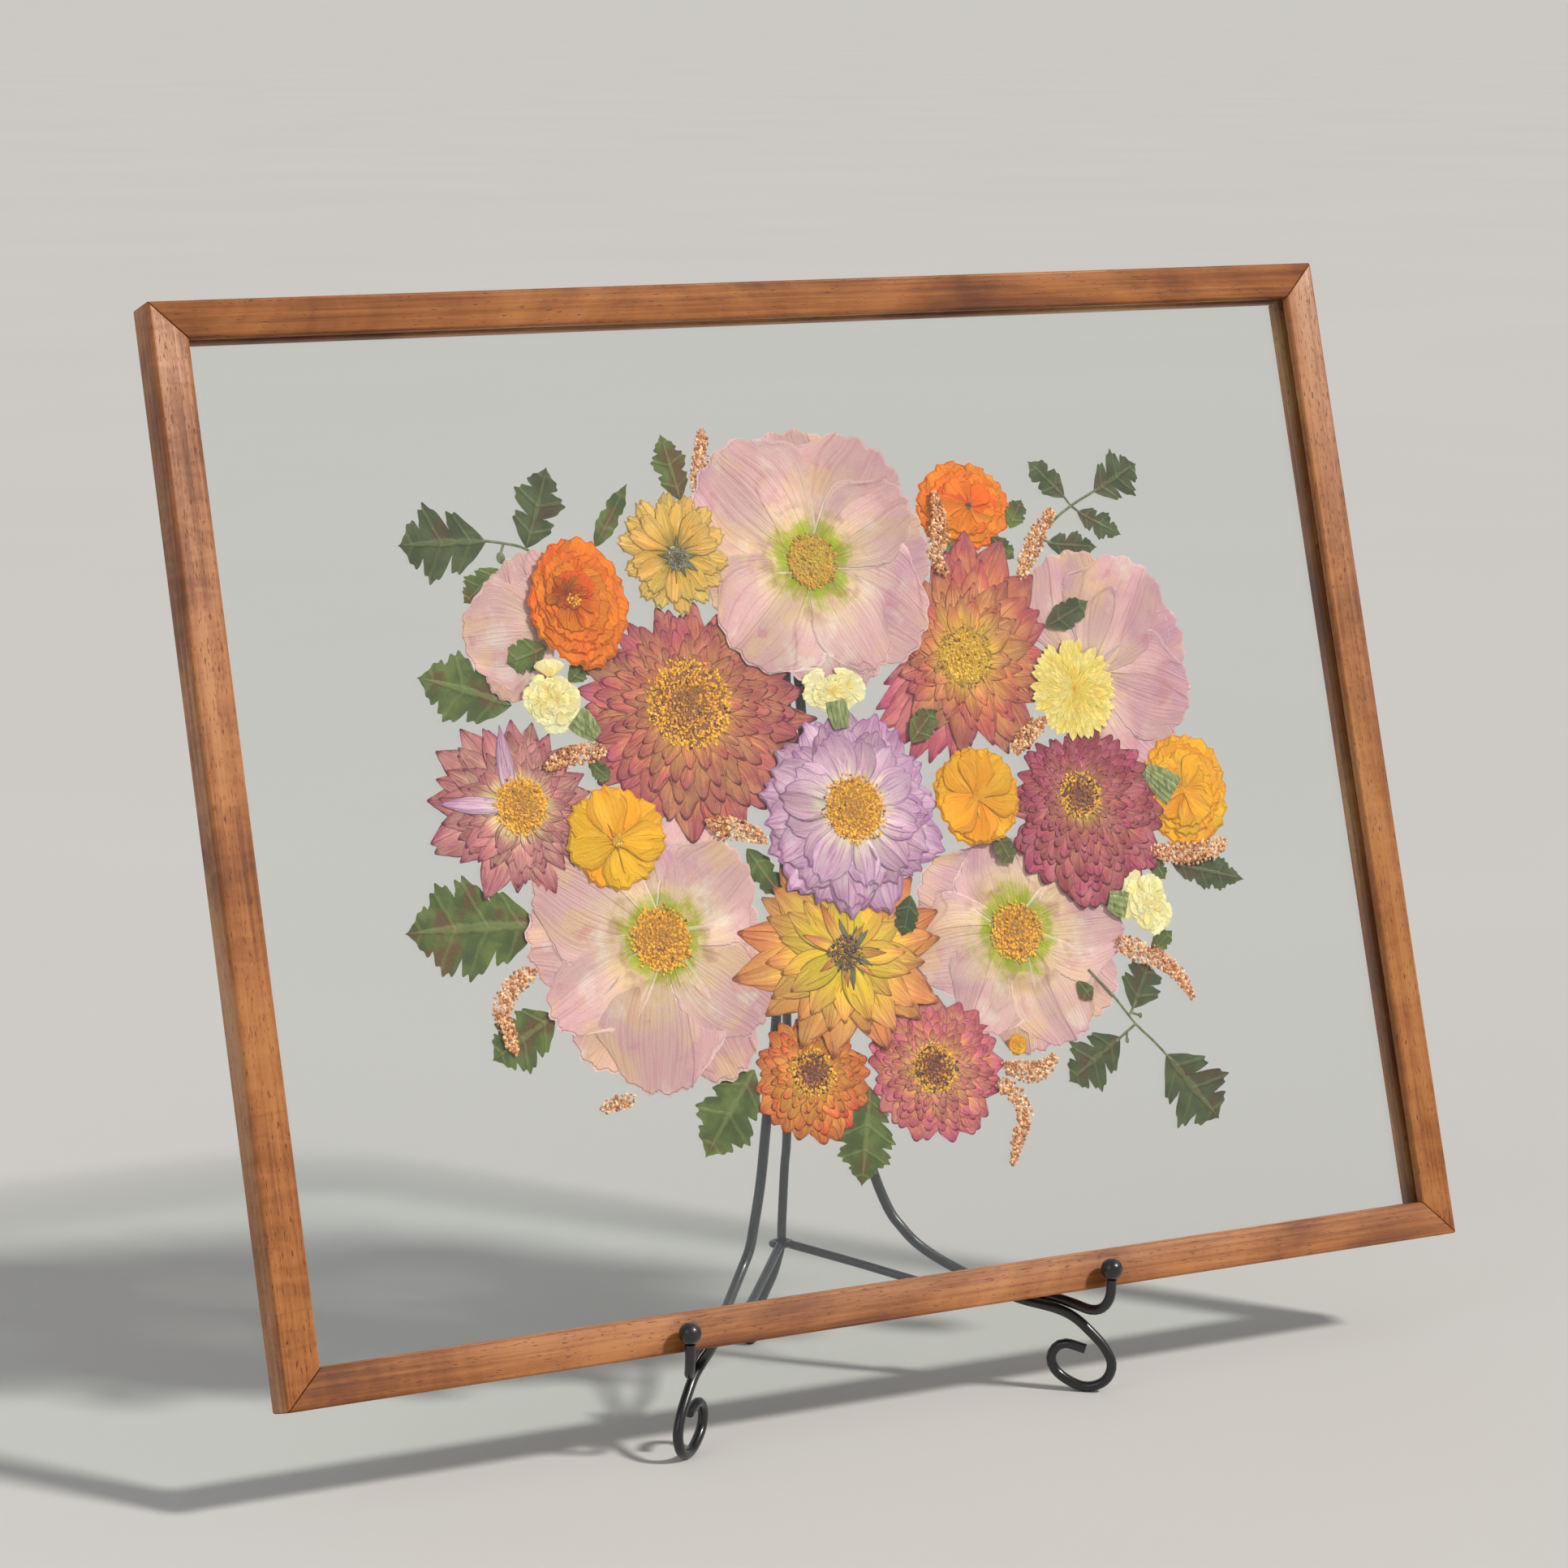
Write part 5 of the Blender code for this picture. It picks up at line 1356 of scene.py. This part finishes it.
bumped = node(leaf_skin, "ShaderNodeBump", {"Height": raised, "Strength": 0.6, "Distance": 0.0004})
leaf_skin.links.new(bumped.outputs[0], out["Normal"])


def leaf_finish(name, light, dark, brown, vein):
    finish, tree, shader = new_finish(name, specular_ior_level=0.2)
    skin = placed_group(tree, leaf_skin, {
        "Map": node(tree, "ShaderNodeUVMap", uv_map="UVMap").outputs[0],
        "Place": node(tree, "ShaderNodeTexCoord").outputs["Object"]})
    body = blend(tree, spread(tree, skin["Mottle"], 0.35, 0.65), colour(dark), colour(light))
    body = blend(tree, maths(tree, "MULTIPLY", skin["Browned"], 0.85), body, colour(brown))
    body = blend(tree, maths(tree, "MULTIPLY", skin["Side Veins"], 0.3), body, colour(vein))
    body = blend(tree, maths(tree, "MULTIPLY", skin["Midrib"], 0.5), body, colour(vein))
    tree.links.new(body, shader.inputs["Base Color"])
    tree.links.new(spread(tree, skin["Mottle"], 0.3, 0.7, 0.62, 0.48), shader.inputs["Roughness"])
    tree.links.new(skin["Normal"], shader.inputs["Normal"])
    return finish


LEAF_FINISHES = {
    "fresh": leaf_finish("leaf_green", "#5C6A2C", "#3C4A18", "#5C3C1C", "#7C844C"),
    "dark": leaf_finish("leaf_dark_green", "#485228", "#303A18", "#48341C", "#687044"),
}


def leaf_blade(length, width, lobes, depth, sweep=0.6, cells=(10, 72), seed=0):
    """A lobed leaf along +Y from the origin, in millimetres."""
    chance = np.random.default_rng(seed)
    lean = chance.uniform(-0.06, 0.06)
    mesh = bpy.data.meshes.new("blade")
    sheet = bmesh.new()
    uv = sheet.loops.layers.uv.new("UVMap")
    bmesh.ops.create_grid(sheet, x_segments=cells[0], y_segments=cells[1], size=0.5, calc_uvs=True)
    for face in sheet.faces:
        for loop in face.loops:
            loop[uv].uv.y *= lobes
    for vertex in sheet.verts:
        s, t = vertex.co.x * 2, vertex.co.y + 0.5
        swell = math.sin(math.pi * t**0.78) ** (0.55 + 0.65 * t) if 0 < t < 1 else 0.0
        place = (t * lobes) % 1.0 if t < 1 else 1.0
        dip = 1 - math.sin(math.pi * place**0.75) ** 0.55 if 0 < place < 1 else 1.0
        lobe = 1 - depth * (1 - 0.6 * t) * dip
        tooth = 1 + 0.07 * math.sin(2 * math.pi * 3 * place + (0.6 if s > 0 else -0.6))
        half = 0.5 * width * swell * lobe * tooth
        x = half * s + lean * length * t * (1 - t)
        y = length * t * (1 - sweep * 0.5 * width / length * 0.3) + abs(half * s) * sweep * (1 - 0.4 * t)
        z = 0.09 * math.sin(3.1 * s + 5 * t + lean * 90) * abs(s)
        vertex.co = (x, min(y, length), z)
    sheet.to_mesh(mesh)
    sheet.free()
    blade = bpy.data.objects.new("blade", mesh)
    body = blade.modifiers.new("tissue", "SOLIDIFY")
    body.thickness = 0.06
    body.offset = 0.0
    bpy.context.scene.collection.objects.link(blade)
    result = evaluated_mesh(blade)
    bpy.data.objects.remove(blade)
    return result


# how deep the cuts between lobes go, as a share of the half-width
LEAF_DEPTH = 0.55
SPRAY_DEPTH = 0.85


def placed_blade(base, tip, width, lobes, seed, depth=LEAF_DEPTH):
    start, end = Vector(base), Vector(tip)
    mesh = leaf_blade((end - start).length, width, lobes, depth, seed=seed)
    way = math.atan2(end.y - start.y, end.x - start.x) - math.pi / 2
    mesh.transform(Matrix.Translation((start.x, start.y, 0)) @ Matrix.Rotation(way, 4, "Z"))
    return mesh


def together(meshes):
    whole = bmesh.new()
    for part in meshes:
        whole.from_mesh(part)
        bpy.data.meshes.remove(part)
    mesh = bpy.data.meshes.new("together")
    whole.to_mesh(mesh)
    whole.free()
    return mesh


print("leaf blade ready")

# %% [markdown]
# Single leaves are a base, a tip, a width and a number of lobes a side. The first group stands for the
# solids; the second is the small leaves that mostly hide behind blooms.

# %% Single leaves
LEAVES = {
    "leaf_top": ((-46.5, 119.0), (-51.5, 146.5), 15.0, 3),
    "leaf_upper_narrow": ((-85.0, 103.0), (-67.5, 127.5), 9.0, 2),
    "leaf_beside_marigold": ((-111.0, 66.0), (-129.5, 60.5), 14.0, 2),
    "leaf_left_small": ((-126.0, 97.0), (-143.0, 84.0), 14.0, 3),
    "leaf_left_lobed": ((-128.0, 45.0), (-167.0, 59.0), 27.0, 3),
    "leaf_left_large": ((-129.0, -38.0), (-186.0, -36.0), 38.0, 4),
    "leaf_lower_left": ((-127.0, -72.0), (-156.5, -87.0), 24.0, 3),
    "leaf_bottom_left": ((-48.0, -101.0), (-75.0, -133.5), 26.0, 3),
    "leaf_bottom_middle": ((0.0, -113.0), (-10.0, -152.5), 25.0, 4),
    "leaf_right_dark": ((107.0, 59.5), (129.0, 69.0), 12.0, 2),
    "leaf_centre_left": ((-38.5, -17.0), (-25.5, -38.0), 12.0, 2),
    "leaf_centre_small": ((28.5, -41.5), (22.0, -58.0), 11.0, 2),
    "leaf_right_toothed": ((150.0, -40.0), (184.0, -49.5), 15.0, 4),
}
SMALL_LEAVES = {
    "leaf_by_orange_marigold": ((97.0, 100.0), (105.0, 112.0), 10.0, 2, 0),
    "leaf_under_orange_marigold": ((88.0, 97.0), (98.0, 87.0), 9.0, 2, 0),
    "leaf_between_dahlias": ((38.0, 18.0), (51.5, 31.0), 12.0, 2, 4),
    "leaf_under_golden_marigold": ((70.0, -20.0), (76.0, -34.5), 10.0, 2, 4),
    "leaf_by_right_carnation": ((140.0, -36.0), (146.0, -46.5), 8.0, 2, 0),
    "leaf_on_lower_pink": ((98.0, -82.0), (104.0, -91.0), 7.0, 1, 2),
    "leaf_behind_carnation": ((134.0, -74.0), (146.0, -66.0), 8.0, 2, 0),
    "leaf_between_left_blooms": ((-100.0, 21.0), (-92.0, 13.0), 8.0, 2, 4),
    "leaf_under_marigold": ((-104.0, 52.0), (-94.0, 60.0), 9.0, 2, 2),
}
for seed, (name, blade) in enumerate(LEAVES.items()):
    w = middle_and_reach(name)[0][2]
    tone = "dark" if name in ("leaf_right_dark", "leaf_centre_small", "leaf_right_toothed") else "fresh"
    lay(name + "_blade", placed_blade(*blade, seed=seed), LEAF_FINISHES[tone], "dried_leaf", 0, 0, w, name)
for seed, (name, (*blade, layer)) in enumerate(SMALL_LEAVES.items(), 20):
    w = BACK_LAYER + LAYER * layer + 0.1
    lay(name, placed_blade(*blade, seed=seed), LEAF_FINISHES["fresh"], "dried_leaf", 0, 0, w)
print(len(LEAVES) + len(SMALL_LEAVES), "single leaves laid")

# %% [markdown]
# A compound leaf is one piece: leaflets on a stem. Stems follow their route with the wire tree, pressed
# flat, and each ends under its leaflet. Two small buds hang from the sprays on stalks of their own.

# %% Leaf sprays and buds
stem_green = leaf_like("stem_green", "#7C8458", "#4C5434", "#6C5C38")
SPRAYS = {
    "spray_upper_left": (
        [[(-100.0, 93.0), (-105.0, 97.5), (-114.0, 104.0), (-122.0, 106.4), (-131.0, 108.0)],
         [(-122.5, 106.5), (-124.2, 102.5), (-124.5, 99.5)]],
        [((-129.5, 107.5), (-168.0, 108.0), 30.0, 3), ((-113.5, 104.0), (-100.0, 136.5), 21.0, 3)],
        [(-124.5, 101.0, 4.2)],
    ),
    "spray_upper_right": (
        [[(101.0, 80.0), (104.5, 87.5), (110.5, 95.0), (118.0, 102.0), (127.0, 107.5), (140.0, 113.5)],
         [(127.0, 107.5), (124.0, 112.0)], [(127.0, 107.5), (131.0, 104.5)], [(110.5, 95.0), (115.5, 93.0)]],
        [((124.5, 111.0), (109.0, 127.5), 13.0, 2), ((138.5, 112.5), (162.0, 124.0), 21.0, 3),
         ((129.5, 105.0), (149.5, 94.0), 12.0, 3), ((113.5, 93.0), (137.5, 90.0), 12.0, 3)],
        [],
    ),
    "spray_lower_right": (
        [[(104.0, -78.0), (114.0, -90.0), (122.0, -101.5), (129.0, -109.0), (136.0, -117.5)],
         [(122.0, -101.5), (112.0, -107.5)], [(119.5, -98.0), (124.0, -92.5)],
         [(121.0, -97.0), (124.0, -98.2)], [(117.5, -104.0), (117.0, -107.0)]],
        [((121.5, -95.5), (133.0, -76.5), 20.0, 2), ((114.0, -106.0), (86.0, -122.0), 23.0, 3),
         ((134.0, -115.0), (156.0, -145.5), 32.0, 3)],
        [(124.6, -98.4, 2.2), (117.0, -107.6, 2.2)],
    ),
}


def pressed_stem(points, width=1.1):
    route = catmull_rom([(x, y, 0.0) for x, y in points], 2.0)
    mesh = grow(wire_tree, {"Radius": width / 2, "Sides": 8, "Finish": stem_green}, path_curve(route))
    mesh.transform(Matrix.Diagonal((1.0, 1.0, 0.35, 1.0)))
    return mesh


def bud(x, y, size):
    mesh = bpy.data.meshes.new("bud")
    shape = bmesh.new()
    bmesh.ops.create_uvsphere(shape, u_segments=16, v_segments=10, radius=size / 2)
    bmesh.ops.transform(shape, matrix=Matrix.Translation((x, y, 0.1)) @ Matrix.Diagonal((0.85, 1.1, 0.1, 1)),
                        verts=shape.verts)
    shape.to_mesh(mesh)
    shape.free()
    return mesh


for seed, (name, (stems, leaflets, buds)) in enumerate(SPRAYS.items(), 40):
    w = middle_and_reach(name)[0][2]
    blades = together([placed_blade(*leaflet, seed=seed + 7 * number, depth=SPRAY_DEPTH)
                       for number, leaflet in enumerate(leaflets)])
    lay(name + "_leaflets", blades, LEAF_FINISHES["dark"], "dried_leaf", 0, 0, w, name)
    stalks = together([pressed_stem(stem) for stem in stems] + [bud(*one) for one in buds])
    lay(name + "_stem", stalks, stem_green, "dried_leaf", 0, 0, w - 0.02)
coral_stem = pressed_stem([(64.5, 84.0), (67.0, 90.0), (70.0, 97.0)], 2.2)
lay("stem_under_coral", coral_stem, stem_green, "dried_leaf", 0, 0, BACK_LAYER)
print(len(SPRAYS), "sprays laid")

# %% [markdown]
# ## Amaranth
# A tassel of amaranth is hundreds of grains round a thread. The tree walks along the sprig's path, drops
# each grain a random way off it but never past the sprig's own breadth, presses the heap flat and gives
# every grain its own turn and size.

# %% Amaranth tree and sprigs
grain_box = bpy.data.collections.new("grains")
for number, words in enumerate(((6, 0.5, 0.95, 0.55), (5, 0.55, 0.8, 0.4), (6, 0.42, 1.15, 0.5))):
    grain_box.objects.link(floret_object(f"grain_{number}", *words))

sprig_tree, given, out = tree_in_nodes(
    "amaranth_sprig",
    [("Geometry", "Geometry"), ("Grains", "Collection"), ("Count", "Int", 300), ("Size", "Float", 1.3),
     ("Thickness", "Float", 0.5), ("Seed", "Int"), ("Finish", "Material")],
)
number = node(sprig_tree, "GeometryNodeInputIndex").outputs[0]
points = node(sprig_tree, "GeometryNodePoints", {"Count": given["Count"]}).outputs[0]
share = maths(sprig_tree, "DIVIDE", maths(sprig_tree, "ADD", number, 0.5), given["Count"])
breadth = node(sprig_tree, "GeometryNodeInputRadius").outputs[0]
followed = node(sprig_tree, "GeometryNodeSampleCurve",
                {"Curves": given["Geometry"], "Value": breadth, "Factor": share},
                use_all_curves=True).outputs
way = maths(sprig_tree, "MULTIPLY", number, 2.399)
off = maths(sprig_tree, "MULTIPLY", maths(sprig_tree, "SQRT", chance_between(
    sprig_tree, 0.0, 1.0, given["Seed"])), maths(sprig_tree, "MULTIPLY", followed[0], 0.5))
lifted = chance_between(sprig_tree, 0.0, given["Thickness"], seed_plus(sprig_tree, given["Seed"], 1))
aside = node(sprig_tree, "ShaderNodeCombineXYZ", {
    0: maths(sprig_tree, "MULTIPLY", off, maths(sprig_tree, "COSINE", way)),
    1: maths(sprig_tree, "MULTIPLY", off, maths(sprig_tree, "SINE", way)), 2: lifted}).outputs[0]
spot = node(sprig_tree, "ShaderNodeVectorMath", {0: followed["Position"], 1: aside},
            operation="ADD").outputs[0]
points = node(sprig_tree, "GeometryNodeSetPosition", {"Geometry": points, "Position": spot}).outputs[0]
kinds = node(sprig_tree, "GeometryNodeCollectionInfo",
             {"Collection": given["Grains"], "Separate Children": True}).outputs[0]
size = maths(sprig_tree, "MULTIPLY", given["Size"], chance_between(sprig_tree, 0.6, 1.25, seed_plus(
    sprig_tree, given["Seed"], 2)))
turned = node(sprig_tree, "ShaderNodeCombineXYZ", {
    0: chance_between(sprig_tree, -1.2, 1.2, seed_plus(sprig_tree, given["Seed"], 3)),
    2: chance_between(sprig_tree, 0.0, 6.28, seed_plus(sprig_tree, given["Seed"], 4))}).outputs[0]
laid = node(sprig_tree, "GeometryNodeInstanceOnPoints", {
    "Points": points, "Instance": kinds, "Pick Instance": True,
    "Instance Index": chance_between(sprig_tree, 0, 2, seed_plus(sprig_tree, given["Seed"], 5), "INT"),
    "Rotation": turned, "Scale": node(sprig_tree, "ShaderNodeCombineXYZ", {
        0: size, 1: size, 2: maths(sprig_tree, "MULTIPLY", size, 0.45)}).outputs[0]}).outputs[0]
laid = node(sprig_tree, "GeometryNodeStoreNamedAttribute", {
    "Geometry": laid, "Name": "chance",
    "Value": chance_between(sprig_tree, 0.0, 1.0, seed_plus(sprig_tree, given["Seed"], 6))},
    data_type="FLOAT", domain="INSTANCE").outputs[0]
laid = node(sprig_tree, "GeometryNodeRealizeInstances", {"Geometry": laid}).outputs[0]
laid = node(sprig_tree, "GeometryNodeTransform", {"Geometry": laid, "Scale": (1.0, 1.0, 0.8)}).outputs[0]
laid = node(sprig_tree, "GeometryNodeSetMaterial",
            {"Geometry": laid, "Material": given["Finish"]}).outputs[0]
sprig_tree.links.new(laid, out["Geometry"])

amaranth_finish = grain_finish("amaranth_grain", [(0.0, "#C07038"), (0.35, "#D89054"), (0.75, "#F0B47C"),
                                                  (1.0, "#FAD8B0")], "#A45C2C", 0.1, pick="chance")
SPRIGS = {
    "amaranth_top": [(-39.0, 120.5, 4), (-38.0, 127.0, 8), (-36.0, 134.0, 7), (-33.5, 144.5, 4)],
    "amaranth_upright": [(64.0, 84.0, 4), (61.5, 90.0, 8), (64.0, 99.0, 10), (65.0, 107.0, 7),
                         (64.5, 115.5, 3)],
    "amaranth_curved": [(-134.0, -55.5, 7), (-143.0, -60.0, 8), (-148.5, -68.0, 8), (-147.0, -76.0, 7),
                        (-145.5, -83.5, 4)],
    "amaranth_drooping": [(120.5, -69.5, 7), (130.0, -74.0, 10), (140.0, -79.5, 7), (146.0, -86.0, 6),
                          (149.5, -93.5, 3)],
    "amaranth_bottom": [(57.0, -118.0, 6), (63.0, -124.0, 8), (65.5, -132.0, 7), (61.5, -140.0, 6),
                        (57.5, -149.0, 3)],
}
SMALL_SPRIGS = {
    "amaranth_by_orange": ([(99.0, 80.5, 4), (104.0, 89.0, 9), (110.0, 97.5, 8), (117.0, 105.5, 4)], 1),
    "amaranth_by_left_carnation": ([(-118.0, 20.5, 3), (-110.0, 23.5, 8), (-100.0, 24.5, 9),
                                    (-95.0, 25.0, 5)], 4),
    "amaranth_centre": ([(-54.0, -5.5, 4), (-47.0, -8.5, 9), (-39.0, -10.5, 8), (-32.0, -14.0, 5)], 4),
    "amaranth_between_right": ([(83.5, 11.0, 4), (89.0, 15.0, 8), (94.0, 19.0, 8), (98.0, 22.0, 5)], 4),
    "amaranth_right": ([(141.0, -33.5, 5), (152.0, -36.0, 9), (162.0, -36.5, 9), (170.0, -35.0, 8),
                        (175.0, -33.5, 4)], 1),
    "amaranth_under_pink": ([(-113.0, -108.5, 3), (-108.0, -107.5, 6), (-101.0, -106.5, 5)], 0),
    "amaranth_bottom_arm": ([(60.5, -112.0, 5), (67.5, -114.5, 9), (76.0, -115.0, 8), (82.5, -110.5, 4)], 2),
}


def sprig(points, seed):
    route = catmull_rom([(x, y, breadth) for x, y, breadth in points], 1.5)
    curve = path_curve([Vector((p.x, p.y, 0.0)) for p in route], radii=[p.z for p in route])
    area = sum((a.xy - b.xy).length * a.z for a, b in zip(route, route[1:]))
    return grow(sprig_tree, {"Grains": grain_box, "Count": int(area * 1.7), "Size": 1.5, "Thickness": 0.7,
                             "Seed": seed, "Finish": amaranth_finish}, curve)


for seed, (name, points) in enumerate(SPRIGS.items(), 60):
    w = middle_and_reach(name)[0][2]
    piece = lay(name + "_grains", sprig(points, seed), amaranth_finish, "dried_sprig", 0, 0, w - 0.05, name)
    print(piece.name, len(piece.data.polygons), "faces")
for seed, (name, (points, layer)) in enumerate(SMALL_SPRIGS.items(), 70):
    lay(name, sprig(points, seed), amaranth_finish, "dried_sprig", 0, 0, BACK_LAYER + LAYER * layer)
print(len(SPRIGS) + len(SMALL_SPRIGS), "sprigs laid")
counts = {one.name: sum(len(face.vertices) - 2 for face in one.data.polygons)
          for one in bpy.data.objects if one.type == "MESH"}
largest = sorted(counts.items(), key=lambda pair: -pair[1])[:5]
print("all triangles:", sum(counts.values()), "largest:", largest)
